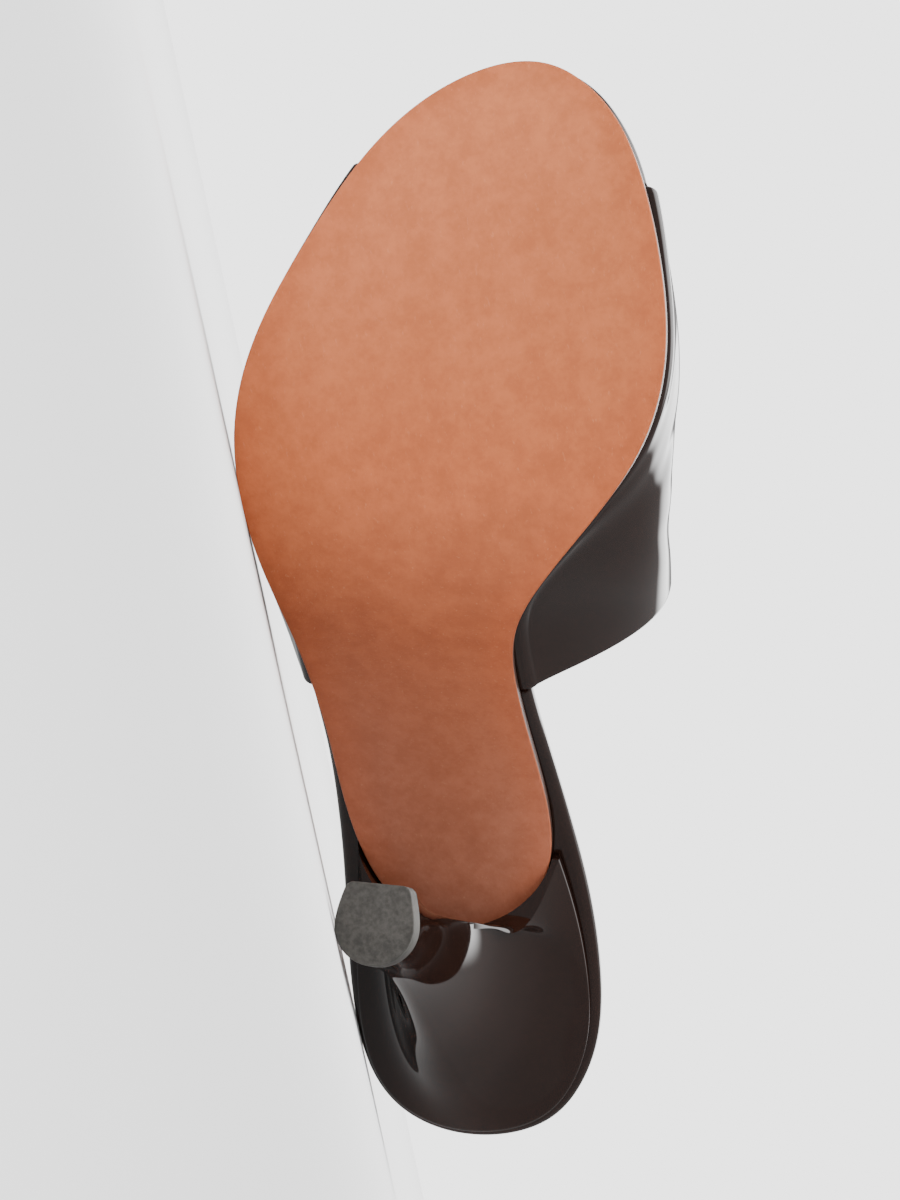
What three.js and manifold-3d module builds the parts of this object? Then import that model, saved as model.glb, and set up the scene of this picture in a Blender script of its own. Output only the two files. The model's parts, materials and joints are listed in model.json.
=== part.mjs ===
// Open-toe high-heeled mule, a right shoe, lying on its outer side. Lengths are millimetres.
// The shoe is worked out in its own frame: x runs from the back of the seat to the toe, y to the inner
// (big toe) side and z up from the floor that it is worn on. The last lines lay it down.
// A place on the shoe is given as (along, across, up): along the curve of the sole's underside, across
// it, and up at a right angle to it, so every layer follows arch, toe spring and heel height.

import * as THREE from 'three';
import { mergeVertices } from 'three/addons/utils/BufferGeometryUtils.js';
import { ConvexHull } from 'three/addons/math/ConvexHull.js';
import Module from 'manifold-3d';

const wasm = await Module();
wasm.setup();

// Last
const SOLE_CURVE = 235.2;
const BALL_WIDTH = 80;
const SEAT_HEIGHT = 88;
const SEAT_ANGLE = 8.5;
const TOE_ANGLE = 13;

// Outsole and insole
const OUTSOLE_THICKNESS = 2;
const OUTSOLE_EDGE_ROUND = 0.4;
const OUTSOLE_SETBACK = 41.8;
const OUTSOLE_BACK_SHIFT = -2.9;
const OUTSOLE_TOE_SHIFT = 9.6;
const INSOLE_THICKNESS = 4.2;
const INSOLE_TOE_OVERHANG = 0.6;
const INSOLE_BACK_SHIFT = 0.9;
const INSOLE_TOE_SHIFT = 9.4;

// Vamp
const VAMP_WALL = 1.5;
const VAMP_FRONT = 213;
const VAMP_REAR = 100.5;
const VAMP_SKEW = 8;
const TOPLINE_SCOOP = 7;
const INSTEP_HEIGHT = 50;
const LASTING_MARGIN = 9;
const FEATHER_RADIUS = 1.5;

// Heel and top piece
const SEAT_BACK_INSET = 1;
const SEAT_OUTER_INSET = 4.3;
const SEAT_INNER_INSET = 3.2;
const SEAT_INSET_GROWTH = 1.5;
const SEAT_LIP = 1.2;
const HEEL_WING = 60;
const BREAST_DEPTH = 18;
const TOP_PIECE_WIDTH = 15.2;
const TOP_PIECE_LENGTH = 15.5;
const TOP_PIECE_THICKNESS = 5.5;
const TOP_PIECE_SETBACK = 29.3;
const TOP_PIECE_SHIFT = -2.5;
const TOP_PIECE_CORNER = 1.8;
const TOP_PIECE_TAPER = 1.2;
const TOP_PIECE_SIDE_ANGLE = 17;

// Pieces that meet keep this gap
const FIT_GAP = 0.3;

// Slope of the sole's underside: along is a share of SOLE_CURVE, and seat, shank and toe say how much
// of each of the three slopes a row has. The slope changes smoothly between the rows.
const SLOPES = [
  { along: 0, seat: 1, shank: 0, toe: 0 },
  { along: 0.41, seat: 0, shank: 1, toe: 0 },
  { along: 0.5, seat: 0, shank: 1, toe: 0 },
  { along: 0.745, seat: 0, shank: 0, toe: 0 },
  { along: 0.83, seat: 0, shank: 0, toe: 0 },
  { along: 1, seat: 0, shank: 0, toe: -1 },
];

// Outlines: along is a share of the piece's own length from its back end, and outer and inner are the
// half widths on either side, as shares of BALL_WIDTH.
const OUTSOLE_OUTLINE = [
  { along: 0.052, outer: 0.241, inner: 0.169 },
  { along: 0.101, outer: 0.288, inner: 0.203 },
  { along: 0.149, outer: 0.311, inner: 0.203 },
  { along: 0.222, outer: 0.328, inner: 0.184 },
  { along: 0.32, outer: 0.355, inner: 0.161 },
  { along: 0.417, outer: 0.401, inner: 0.181 },
  { along: 0.514, outer: 0.458, inner: 0.31 },
  { along: 0.611, outer: 0.495, inner: 0.463 },
  { along: 0.708, outer: 0.464, inner: 0.517 },
  { along: 0.806, outer: 0.364, inner: 0.484 },
  { along: 0.891, outer: 0.251, inner: 0.415 },
  { along: 0.951, outer: 0.13, inner: 0.33 },
  { along: 0.982, outer: 0.027, inner: 0.248 },
];
const INSOLE_OUTLINE = [
  { along: 0.02, outer: 0.18, inner: 0.208 },
  { along: 0.05, outer: 0.254, inner: 0.278 },
  { along: 0.1, outer: 0.303, inner: 0.318 },
  { along: 0.16, outer: 0.325, inner: 0.31 },
  { along: 0.22, outer: 0.333, inner: 0.281 },
  { along: 0.28, outer: 0.34, inner: 0.245 },
  { along: 0.34, outer: 0.348, inner: 0.214 },
  { along: 0.42, outer: 0.366, inner: 0.185 },
  { along: 0.47, outer: 0.376, inner: 0.177 },
  { along: 0.52, outer: 0.396, inner: 0.187 },
  { along: 0.6, outer: 0.45, inner: 0.302 },
  { along: 0.68, outer: 0.486, inner: 0.449 },
  { along: 0.76, outer: 0.454, inner: 0.503 },
  { along: 0.84, outer: 0.358, inner: 0.472 },
  { along: 0.91, outer: 0.254, inner: 0.416 },
  { along: 0.96, outer: 0.138, inner: 0.335 },
  { along: 0.985, outer: 0.037, inner: 0.26 },
];

// Sections of the vamp from its front edge (0) to its rear edge (1). lean is the section's lean towards
// the toe in degrees. height is the crown's height as a share of INSTEP_HEIGHT. ridge is the crown's
// place across, and outer and inner are the widest places, as shares of BALL_WIDTH. outerBelly and
// innerBelly are the heights of those places as shares of the crown's height.
const VAMP_SECTIONS = [
  {
    along: 0, lean: -32, height: 0.51, ridge: 0.1,
    outer: 0.322, inner: 0.445, outerBelly: 0.38, innerBelly: 0.38,
  },
  {
    along: 0.25, lean: -7, height: 0.65, ridge: 0.1,
    outer: 0.46, inner: 0.51, outerBelly: 0.4, innerBelly: 0.38,
  },
  {
    along: 0.5, lean: 12, height: 0.82, ridge: 0.09,
    outer: 0.523, inner: 0.508, outerBelly: 0.42, innerBelly: 0.42,
  },
  {
    along: 0.75, lean: 30, height: 0.92, ridge: 0.07,
    outer: 0.517, inner: 0.488, outerBelly: 0.42, innerBelly: 0.48,
  },
  {
    along: 1, lean: 45, height: 1, ridge: 0.05,
    outer: 0.465, inner: 0.457, outerBelly: 0.42, innerBelly: 0.54,
  },
];

// The heel's flare from the top piece (0) to the seat (1): how far its sides, back and front have moved
// from the outline of the top piece to the outline of the seat.
const HEEL_FLARE = [
  { up: 0, side: 0, back: 0, front: 0 },
  { up: 0.12, side: -0.02, back: 0.01, front: -0.15 },
  { up: 0.25, side: -0.045, back: 0.05, front: -0.28 },
  { up: 0.37, side: -0.045, back: 0.12, front: -0.38 },
  { up: 0.49, side: -0.01, back: 0.22, front: -0.45 },
  { up: 0.62, side: 0.07, back: 0.36, front: -0.47 },
  { up: 0.74, side: 0.2, back: 0.52, front: -0.48 },
  { up: 0.86, side: 0.42, back: 0.72, front: -0.47 },
  { up: 0.94, side: 0.68, back: 0.87, front: -0.35 },
  { up: 0.97, side: 0.83, back: 0.935, front: 0.1 },
  { up: 1, side: 1, back: 1, front: 1 },
];

// How sharply the vamp's rear edge dips towards its middle
const SCOOP_POWER = 4;

// Number of steps in each direction of the surfaces
const PROFILE_STEPS = 944;
const OUTLINE_STEPS = 112;
const FILL_STEPS = 2;
const VAMP_STEPS = 20;
const MARGIN_STEPS = 2;
const FEATHER_STEPS = 3;
const SIDE_STEPS = 5;
const CROWN_STEPS = 8;
const HEEL_STEPS = 24;
const HEEL_ARC_STEPS = 36;
const HEEL_FRONT_STEPS = 12;
const HEEL_STEP_BIAS = 0.5;

// Searches and differences
const STEEPEST_SHANK = 85;
const HALVINGS = 40;
const SMALL_ANGLE = 0.001;
const SHORT_WAY = 0.5;
const MERGE_DISTANCE = 1e-5;
const LEAST_LOOK_OUT = 0.5;

// Heights of the layers above the sole's underside
const INSOLE_UNDERSIDE = OUTSOLE_THICKNESS + FIT_GAP;
const INSOLE_TOP = INSOLE_UNDERSIDE + INSOLE_THICKNESS;
const MARGIN_TOP = INSOLE_UNDERSIDE + VAMP_WALL;

const degrees = THREE.MathUtils.degToRad;
const lerp = THREE.MathUtils.lerp;

// Solves a small set of linear equations by elimination. Each row ends with its right-hand side.
function solve(rows) {
  const count = rows.length;
  for (let pivot = 0; pivot < count; pivot += 1) {
    for (let other = 0; other < count; other += 1) {
      if (other === pivot) continue;
      const factor = rows[other][pivot] / rows[pivot][pivot];
      for (let k = pivot; k <= count; k += 1) rows[other][k] -= factor * rows[pivot][k];
    }
  }
  return rows.map((row, i) => row[count] / row[i]);
}

// Smooth cubic spline through values at rising knots. With a period the curve closes on itself.
function spline(knots, values, period = 0) {
  const x = period ? [...knots, knots[0] + period] : knots;
  const y = period ? [...values, values[0]] : values;
  const last = x.length - 1;
  const unknowns = period ? last : last + 1;
  const rows = [];
  for (let i = 0; i < unknowns; i += 1) {
    const row = new Array(unknowns + 1).fill(0);
    if (!period && (i === 0 || i === last)) {
      row[i] = 1;
    } else {
      const before = i === 0 ? last - 1 : i - 1;
      const stepBefore = i === 0 ? x[last] - x[last - 1] : x[i] - x[i - 1];
      const step = x[i + 1] - x[i];
      row[before] += stepBefore;
      row[i] += 2 * (stepBefore + step);
      row[(i + 1) % unknowns] += step;
      row[unknowns] = 6 * ((y[i + 1] - y[i]) / step - (y[i] - y[before]) / stepBefore);
    }
    rows.push(row);
  }
  const bend = solve(rows);
  if (period) bend.push(bend[0]);
  return (at) => {
    const place = period ? x[0] + THREE.MathUtils.euclideanModulo(at - x[0], period) : at;
    let i = 0;
    while (i < last - 1 && place > x[i + 1]) i += 1;
    const step = x[i + 1] - x[i];
    const a = (x[i + 1] - place) / step;
    const b = (place - x[i]) / step;
    const curve = ((a ** 3 - a) * bend[i] + (b ** 3 - b) * bend[i + 1]) * step * step / 6;
    return a * y[i] + b * y[i + 1] + curve;
  };
}

// Splines of all the columns of a table over its first column
function tableSplines(table) {
  const [key, ...columns] = Object.keys(table[0]);
  const knots = table.map((row) => row[key]);
  return Object.fromEntries(columns.map((name) => [name, spline(knots, table.map((row) => row[name]))]));
}

// Slope of the underside in radians at a share of its curve, for a given slope of the shank
function slopeAt(share, shankAngle) {
  const next = Math.max(1, SLOPES.findIndex((row) => row.along >= share));
  const from = SLOPES[next - 1];
  const to = SLOPES[next];
  const blend = THREE.MathUtils.smoothstep(share, from.along, to.along);
  const part = (name) => lerp(from[name], to[name], blend);
  return degrees(part('seat') * SEAT_ANGLE + part('shank') * shankAngle + part('toe') * TOE_ANGLE);
}

// Points of the underside in the middle of the shoe, from the back of the seat to the toe. The floor
// is at the level of the flat tread.
function underside(shankAngle) {
  const step = SOLE_CURVE / PROFILE_STEPS;
  const points = [{ x: 0, z: 0 }];
  for (let i = 0; i < PROFILE_STEPS; i += 1) {
    const slope = slopeAt((i + 0.5) / PROFILE_STEPS, shankAngle);
    const before = points[i];
    points.push({ x: before.x + step * Math.cos(slope), z: before.z - step * Math.sin(slope) });
  }
  const floor = Math.min(...points.map((point) => point.z));
  return points.map((point) => ({ x: point.x, z: point.z - floor }));
}

// The shank's slope that brings the back of the seat to SEAT_HEIGHT, found by halving
function findShankAngle() {
  let low = 0;
  let high = STEEPEST_SHANK;
  for (let i = 0; i < HALVINGS; i += 1) {
    const middle = (low + high) / 2;
    if (underside(middle)[0].z < SEAT_HEIGHT) low = middle;
    else high = middle;
  }
  return low;
}

const SHANK_ANGLE = findShankAngle();
const UNDERSIDE = underside(SHANK_ANGLE);

// Point of the shoe at a place along, across and up. Past either end the underside runs on straight.
function place(along, across, up) {
  const share = THREE.MathUtils.clamp(along / SOLE_CURVE, 0, 1);
  const beyond = along - share * SOLE_CURVE;
  const index = Math.min(Math.floor(share * PROFILE_STEPS), PROFILE_STEPS - 1);
  const part = share * PROFILE_STEPS - index;
  const slope = slopeAt(share, SHANK_ANGLE);
  const from = UNDERSIDE[index];
  const to = UNDERSIDE[index + 1];
  const x = lerp(from.x, to.x, part) + beyond * Math.cos(slope) + up * Math.sin(slope);
  const z = lerp(from.z, to.z, part) - beyond * Math.sin(slope) + up * Math.cos(slope);
  return new THREE.Vector3(x, across, z);
}

// Closed outline of a flat layer. The angle runs once round it, from the back along the inner side to
// the toe and back along the outer side, and the two sides meet in smooth round ends.
function makeOutline({ start, end, backShift, toeShift, table }) {
  const knots = [0];
  const values = [backShift];
  for (const row of table) {
    knots.push(Math.acos(1 - 2 * row.along));
    values.push(row.inner * BALL_WIDTH);
  }
  knots.push(Math.PI);
  values.push(toeShift);
  for (const row of [...table].reverse()) {
    knots.push(2 * Math.PI - Math.acos(1 - 2 * row.along));
    values.push(-row.outer * BALL_WIDTH);
  }
  const across = spline(knots, values, 2 * Math.PI);
  const point = (angle) => new THREE.Vector2(lerp(start, end, (1 - Math.cos(angle)) / 2), across(angle));
  const angleAt = (along) => {
    const share = THREE.MathUtils.clamp((along - start) / (end - start), 0, 1);
    return Math.acos(1 - 2 * share);
  };
  const side = (turn) => (along) => across(turn(angleAt(along)));
  // Place across of a line that runs at a distance outside one side of the outline
  const beside = (atSide, distance) => (along) => {
    const slope = (atSide(along + SHORT_WAY) - atSide(along - SHORT_WAY)) / (2 * SHORT_WAY);
    return atSide(along) + distance * Math.hypot(1, slope);
  };
  return {
    // Point of the outline, moved inwards by an inset
    at(angle, inset = 0) {
      const along = point(angle + SMALL_ANGLE).sub(point(angle - SMALL_ANGLE)).normalize();
      return point(angle).addScaledVector(new THREE.Vector2(along.y, -along.x), inset);
    },
    innerSide: (distance) => beside(side((angle) => angle), distance),
    outerSide: (distance) => beside(side((angle) => 2 * Math.PI - angle), -distance),
    angleAt,
  };
}

const OUTSOLE = makeOutline({
  start: OUTSOLE_SETBACK,
  end: SOLE_CURVE,
  backShift: OUTSOLE_BACK_SHIFT,
  toeShift: OUTSOLE_TOE_SHIFT,
  table: OUTSOLE_OUTLINE,
});
const INSOLE = makeOutline({
  start: 0,
  end: SOLE_CURVE + INSOLE_TOE_OVERHANG,
  backShift: INSOLE_BACK_SHIFT,
  toeShift: INSOLE_TOE_SHIFT,
  table: INSOLE_OUTLINE,
});

// Collects grids of points as triangles, and closes them into one body with its faces pointing out
class Skin {
  constructor() {
    this.corners = [];
  }

  // Adds a grid, given as rows of points. A closed grid joins the ends of its rows.
  grid(rows, { closed = false, flip = false } = {}) {
    for (let i = 0; i + 1 < rows.length; i += 1) {
      const count = rows[i].length;
      for (let j = 0; j < (closed ? count : count - 1); j += 1) {
        const next = (j + 1) % count;
        const [a, b, c, d] = [rows[i][j], rows[i + 1][j], rows[i + 1][next], rows[i][next]];
        this.corners.push(...(flip ? [a, c, b, a, d, c] : [a, b, c, a, c, d]));
      }
    }
    return this;
  }

  body() {
    const geometry = mergeVertices(new THREE.BufferGeometry().setFromPoints(this.corners), MERGE_DISTANCE);
    const index = geometry.index.array;
    const kept = [];
    for (let i = 0; i < index.length; i += 3) {
      const [a, b, c] = index.slice(i, i + 3);
      if (a !== b && b !== c && c !== a) kept.push(a, b, c);
    }
    if (volumeAndCentre(geometry.attributes.position, kept).volume < 0) kept.reverse();
    const mesh = new wasm.Mesh({
      numProp: 3,
      vertProperties: new Float32Array(geometry.attributes.position.array),
      triVerts: new Uint32Array(kept),
    });
    return new wasm.Manifold(mesh);
  }
}

// Volume of a closed mesh and its centre, from the tetrahedra between its faces and the origin
function volumeAndCentre(position, index) {
  const centre = new THREE.Vector3();
  const [a, b, c] = [new THREE.Vector3(), new THREE.Vector3(), new THREE.Vector3()];
  let volume = 0;
  for (let i = 0; i < index.length; i += 3) {
    a.fromBufferAttribute(position, index[i]);
    b.fromBufferAttribute(position, index[i + 1]);
    c.fromBufferAttribute(position, index[i + 2]);
    const part = a.dot(new THREE.Vector3().crossVectors(b, c)) / 6;
    volume += part;
    centre.addScaledVector(a.add(b).add(c), part / 4);
  }
  return { volume, centre: centre.divideScalar(volume) };
}

// Rows of points that fill a closed ring of places, from one side to the other
function fillRows(ring, toPoint) {
  const rows = [];
  for (let i = 0; i <= ring.length / 2; i += 1) {
    const a = ring[i];
    const b = ring[(ring.length - i) % ring.length];
    const row = [];
    for (let j = 0; j <= FILL_STEPS; j += 1) row.push(toPoint(a.clone().lerp(b, j / FILL_STEPS)));
    rows.push(row);
  }
  return rows;
}

// A layer of the sole: its levels give the inset of the outline and the height, from top to bottom
function layer(outline, levels) {
  const rings = levels.map(({ inset }) => {
    const ring = [];
    for (let i = 0; i < OUTLINE_STEPS; i += 1) {
      ring.push(outline.at(2 * Math.PI * i / OUTLINE_STEPS, inset));
    }
    return ring;
  });
  const onLevel = (level) => (spot) => {
    const point = place(spot.x, spot.y, level.up);
    point.z -= level.drop ?? 0;
    return point;
  };
  const skin = new Skin();
  skin.grid(rings.map((ring, i) => ring.map(onLevel(levels[i]))), { closed: true });
  skin.grid(fillRows(rings[0], onLevel(levels[0])));
  skin.grid(fillRows(rings.at(-1), onLevel(levels.at(-1))), { flip: true });
  return skin.body();
}

// Levels of a rounded edge between two heights
function roundedEdge(bottom, top, radius, steps) {
  const levels = [];
  for (let i = 0; i <= steps; i += 1) {
    const turn = Math.PI / 2 * i / steps;
    levels.push({ inset: radius * (1 - Math.sin(turn)), up: top - radius * (1 - Math.cos(turn)) });
  }
  for (let i = 0; i <= steps; i += 1) {
    const turn = Math.PI / 2 * i / steps;
    levels.push({ inset: radius * (1 - Math.cos(turn)), up: bottom + radius * (1 - Math.sin(turn)) });
  }
  return levels;
}

// Inside line of one vamp section as places across and up, from the outer lasting margin over the
// crown to the inner one
function vampLine(row, innerEdge, outerEdge, margin) {
  const half = (side, edge, widest, belly, ridge) => {
    const points = [];
    for (let i = 0; i <= MARGIN_STEPS; i += 1) {
      points.push([edge - side * lerp(margin, FEATHER_RADIUS, i / MARGIN_STEPS), 0]);
    }
    for (let i = 1; i <= FEATHER_STEPS; i += 1) {
      const turn = Math.PI / 2 * i / FEATHER_STEPS;
      const inwards = FEATHER_RADIUS * (1 - Math.sin(turn));
      points.push([edge - side * inwards, FEATHER_RADIUS * (1 - Math.cos(turn))]);
    }
    for (let i = 1; i <= SIDE_STEPS; i += 1) {
      const part = i / SIDE_STEPS;
      points.push([lerp(edge, widest, Math.sin(Math.PI / 2 * part)), lerp(FEATHER_RADIUS, belly, part)]);
    }
    for (let i = 1; i <= CROWN_STEPS; i += 1) {
      const turn = Math.PI / 2 * i / CROWN_STEPS;
      points.push([lerp(ridge, widest, Math.cos(turn)), lerp(belly, row.height, Math.sin(turn))]);
    }
    return points;
  };
  const outer = half(-1, outerEdge, -row.outer, row.outerBelly * row.height, row.ridge);
  const inner = half(1, innerEdge, row.inner, row.innerBelly * row.height, row.ridge);
  return [...outer, ...inner.reverse().slice(1)];
}

const VAMP_COLUMNS = tableSplines(VAMP_SECTIONS);
const VAMP_LENGTH = VAMP_FRONT - VAMP_REAR;

// One section of the vamp's inside as points, at a share of the way from its front edge to its rear one
function vampSection(share, margin) {
  const column = (name) => VAMP_COLUMNS[name](share);
  const row = {
    height: column('height') * INSTEP_HEIGHT,
    ridge: column('ridge') * BALL_WIDTH,
    outer: column('outer') * BALL_WIDTH - VAMP_WALL,
    inner: column('inner') * BALL_WIDTH - VAMP_WALL,
    outerBelly: column('outerBelly'),
    innerBelly: column('innerBelly'),
  };
  const lean = degrees(column('lean'));
  const rise = new THREE.Vector3(Math.sin(lean), 0, Math.cos(lean));
  const base = VAMP_FRONT - share * VAMP_LENGTH;
  const innerSide = INSOLE.innerSide(FIT_GAP);
  const outerSide = INSOLE.outerSide(FIT_GAP);
  const skewed = (across) => base + VAMP_SKEW * share * across / BALL_WIDTH;
  const innerEdge = innerSide(skewed(innerSide(base)));
  const outerEdge = outerSide(skewed(outerSide(base)));
  const line = vampLine(row, innerEdge, outerEdge, margin);
  return line.map(([across, up]) => place(skewed(across), across, MARGIN_TOP).addScaledVector(rise, up));
}

// Grid of points on the vamp's inside. The rear edge dips by TOPLINE_SCOOP at the crown.
function vampGrid(extraMargin, extraEnd) {
  const columns = vampSection(0, LASTING_MARGIN).length;
  const grid = [];
  for (let i = 0; i <= VAMP_STEPS; i += 1) {
    const run = lerp(-extraEnd, VAMP_LENGTH + extraEnd, i / VAMP_STEPS);
    const row = [];
    for (let j = 0; j < columns; j += 1) {
      const crown = Math.sin(Math.PI * j / (columns - 1)) ** SCOOP_POWER;
      const reach = 1 - crown * TOPLINE_SCOOP / VAMP_LENGTH;
      row.push(vampSection(run * reach / VAMP_LENGTH, LASTING_MARGIN + extraMargin)[j]);
    }
    grid.push(row);
  }
  return grid;
}

// The grid moved along its own normals. Every section ends on a level margin, so a positive distance
// moves it out, away from the foot.
function offsetGrid(rows, distance) {
  const within = (index, count) => THREE.MathUtils.clamp(index, 0, count - 1);
  const at = (i, j) => rows[within(i, rows.length)][within(j, rows[0].length)];
  return rows.map((row, i) => row.map((point, j) => {
    const along = at(i + 1, j).clone().sub(at(i - 1, j));
    const round = at(i, j + 1).clone().sub(at(i, j - 1));
    return point.clone().addScaledVector(round.cross(along).normalize(), distance);
  }));
}

// Shell between two grids of the same size
function shell(inside, outside) {
  const columns = (rows) => rows[0].map((_, j) => rows.map((row) => row[j]));
  const [insideColumns, outsideColumns] = [columns(inside), columns(outside)];
  return new Skin()
    .grid(inside)
    .grid(outside, { flip: true })
    .grid([inside[0], outside[0]], { flip: true })
    .grid([inside.at(-1), outside.at(-1)])
    .grid([insideColumns[0], outsideColumns[0]])
    .grid([insideColumns.at(-1), outsideColumns.at(-1)], { flip: true })
    .body();
}

function makeVamp() {
  const inside = vampGrid(0, 0);
  return shell(inside, offsetGrid(inside, VAMP_WALL));
}

// Room for the lasting margins under the insole's two sides
function makeMarginRoom() {
  const grid = vampGrid(FIT_GAP, FIT_GAP);
  const inside = offsetGrid(grid, -FIT_GAP);
  const outside = offsetGrid(grid, VAMP_WALL + FIT_GAP);
  const count = MARGIN_STEPS + FEATHER_STEPS + 1;
  const outerPart = (row) => row.slice(0, count);
  const innerPart = (row) => row.slice(-count);
  const room = shell(inside.map(outerPart), outside.map(outerPart));
  return room.add(shell(inside.map(innerPart), outside.map(innerPart)));
}

function makeOutsole() {
  return layer(OUTSOLE, roundedEdge(0, OUTSOLE_THICKNESS, OUTSOLE_EDGE_ROUND, 1));
}

function makeInsole() {
  const board = layer(INSOLE, roundedEdge(INSOLE_UNDERSIDE, INSOLE_TOP, INSOLE_THICKNESS / 2, 3));
  return board.subtract(makeMarginRoom());
}

// Outline of the top piece: a straight front with small corners, sides that widen a little and a round
// back. It starts in the middle of the front and goes round the outer side first.
function topPieceRing() {
  const half = TOP_PIECE_WIDTH / 2;
  const round = TOP_PIECE_CORNER;
  const front = TOP_PIECE_SETBACK + TOP_PIECE_LENGTH;
  const backCentre = TOP_PIECE_SETBACK + half;
  const cornerAcross = half - TOP_PIECE_TAPER - round;
  const lean = degrees(TOP_PIECE_SIDE_ANGLE);
  const sideStart = new THREE.Vector2(
    front - round + round * Math.sin(lean),
    cornerAcross + round * Math.cos(lean),
  );
  const control = sideStart.x - (half - sideStart.y) / Math.tan(lean);
  const shape = new THREE.Shape();
  shape.moveTo(front, 0);
  shape.lineTo(front, -cornerAcross);
  shape.absarc(front - round, -cornerAcross, round, 0, lean - Math.PI / 2, true);
  shape.quadraticCurveTo(control, -half, backCentre, -half);
  shape.absarc(backCentre, 0, half, -Math.PI / 2, -3 * Math.PI / 2, true);
  shape.quadraticCurveTo(control, half, sideStart.x, sideStart.y);
  shape.absarc(front - round, cornerAcross, round, Math.PI / 2 - lean, 0, true);
  shape.lineTo(front, 0);
  const points = shape.getSpacedPoints(HEEL_ARC_STEPS + HEEL_FRONT_STEPS).slice(0, -1);
  return points.map((point) => new THREE.Vector2(point.x, point.y + TOP_PIECE_SHIFT));
}

// Outline of the heel's seat as places along and across, in the same order as the top piece's. It lies
// inside the insole's edge, at the back a little and at the wings more.
function seatRing() {
  const corner = INSOLE.angleAt(HEEL_WING);
  const arc = [];
  for (let i = 0; i <= HEEL_ARC_STEPS; i += 1) {
    const angle = lerp(-corner, corner, i / HEEL_ARC_STEPS);
    const wingInset = angle < 0 ? SEAT_OUTER_INSET : SEAT_INNER_INSET;
    const share = INSOLE.at(angle).x / HEEL_WING;
    arc.push(INSOLE.at(angle, lerp(SEAT_BACK_INSET, wingInset, share ** SEAT_INSET_GROWTH)));
  }
  const [outer, inner] = [arc[0], arc.at(-1)];
  const middle = outer.clone().lerp(inner, 0.5);
  const ring = [];
  const half = HEEL_FRONT_STEPS / 2;
  for (let i = 0; i < half; i += 1) ring.push(middle.clone().lerp(outer, i / half));
  ring.push(...arc);
  for (let i = half - 1; i > 0; i -= 1) ring.push(middle.clone().lerp(inner, i / half));
  return ring;
}

function makeHeel() {
  const flare = tableSplines(HEEL_FLARE);
  const bottom = topPieceRing();
  const seat = seatRing();
  const foot = TOP_PIECE_THICKNESS + FIT_GAP;
  const lipBottom = OUTSOLE_THICKNESS - SEAT_LIP;
  const level = (up) => bottom.map((low, i) => {
    const high = place(seat[i].x, seat[i].y, lipBottom);
    const backwards = (1 - Math.cos(2 * Math.PI * i / bottom.length)) / 2;
    const forward = lerp(flare.front(up), flare.back(up), backwards);
    const x = lerp(low.x, high.x, forward);
    const y = lerp(low.y, high.y, flare.side(up));
    return new THREE.Vector3(x, y, lerp(foot, high.z, up));
  });
  const rings = [];
  for (let i = 0; i <= HEEL_STEPS; i += 1) {
    const part = i / HEEL_STEPS;
    rings.push(level(lerp(part, Math.sin(Math.PI / 2 * part), HEEL_STEP_BIAS)));
  }
  const onSeat = (spot) => place(spot.x, spot.y, OUTSOLE_THICKNESS);
  rings.push(seat.map(onSeat));
  const skin = new Skin();
  skin.grid(rings, { closed: true, flip: true });
  skin.grid(fillRows(seat, onSeat));
  skin.grid(fillRows(bottom, (spot) => new THREE.Vector3(spot.x, spot.y, foot)), { flip: true });
  const underOutsole = layer(OUTSOLE, [
    { inset: -FIT_GAP, up: INSOLE_UNDERSIDE },
    { inset: -FIT_GAP, up: -FIT_GAP },
    { inset: -FIT_GAP, up: -FIT_GAP, drop: BREAST_DEPTH },
  ]);
  return skin.body().subtract(underOutsole);
}

function makeTopPiece() {
  const ring = topPieceRing();
  const at = (up) => (spot) => new THREE.Vector3(spot.x, spot.y, up);
  const skin = new Skin();
  skin.grid([ring.map(at(0)), ring.map(at(TOP_PIECE_THICKNESS))], { closed: true, flip: true });
  skin.grid(fillRows(ring, at(TOP_PIECE_THICKNESS)));
  skin.grid(fillRows(ring, at(0)), { flip: true });
  return skin.body();
}

const PATENT = { color: 0x2a1a17, roughness: 0.15, metalness: 0 };
const SOLE_LEATHER = { color: 0xc98a6c, roughness: 0.6, metalness: 0 };
const RUBBER = { color: 0x64625c, roughness: 0.8, metalness: 0 };

const PIECES = [
  { name: 'outsole', body: makeOutsole(), look: SOLE_LEATHER },
  { name: 'insole', body: makeInsole(), look: PATENT },
  { name: 'vamp', body: makeVamp(), look: PATENT },
  { name: 'heel', body: makeHeel(), look: PATENT },
  { name: 'top_piece', body: makeTopPiece(), look: RUBBER },
];

function toMesh({ name, body, look }) {
  const { vertProperties, triVerts } = body.getMesh();
  const geometry = new THREE.BufferGeometry();
  geometry.setAttribute('position', new THREE.BufferAttribute(vertProperties, 3));
  geometry.setIndex(new THREE.BufferAttribute(triVerts, 1));
  geometry.computeVertexNormals();
  const mesh = new THREE.Mesh(geometry, new THREE.MeshStandardMaterial(look));
  mesh.name = name;
  return mesh;
}

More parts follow.
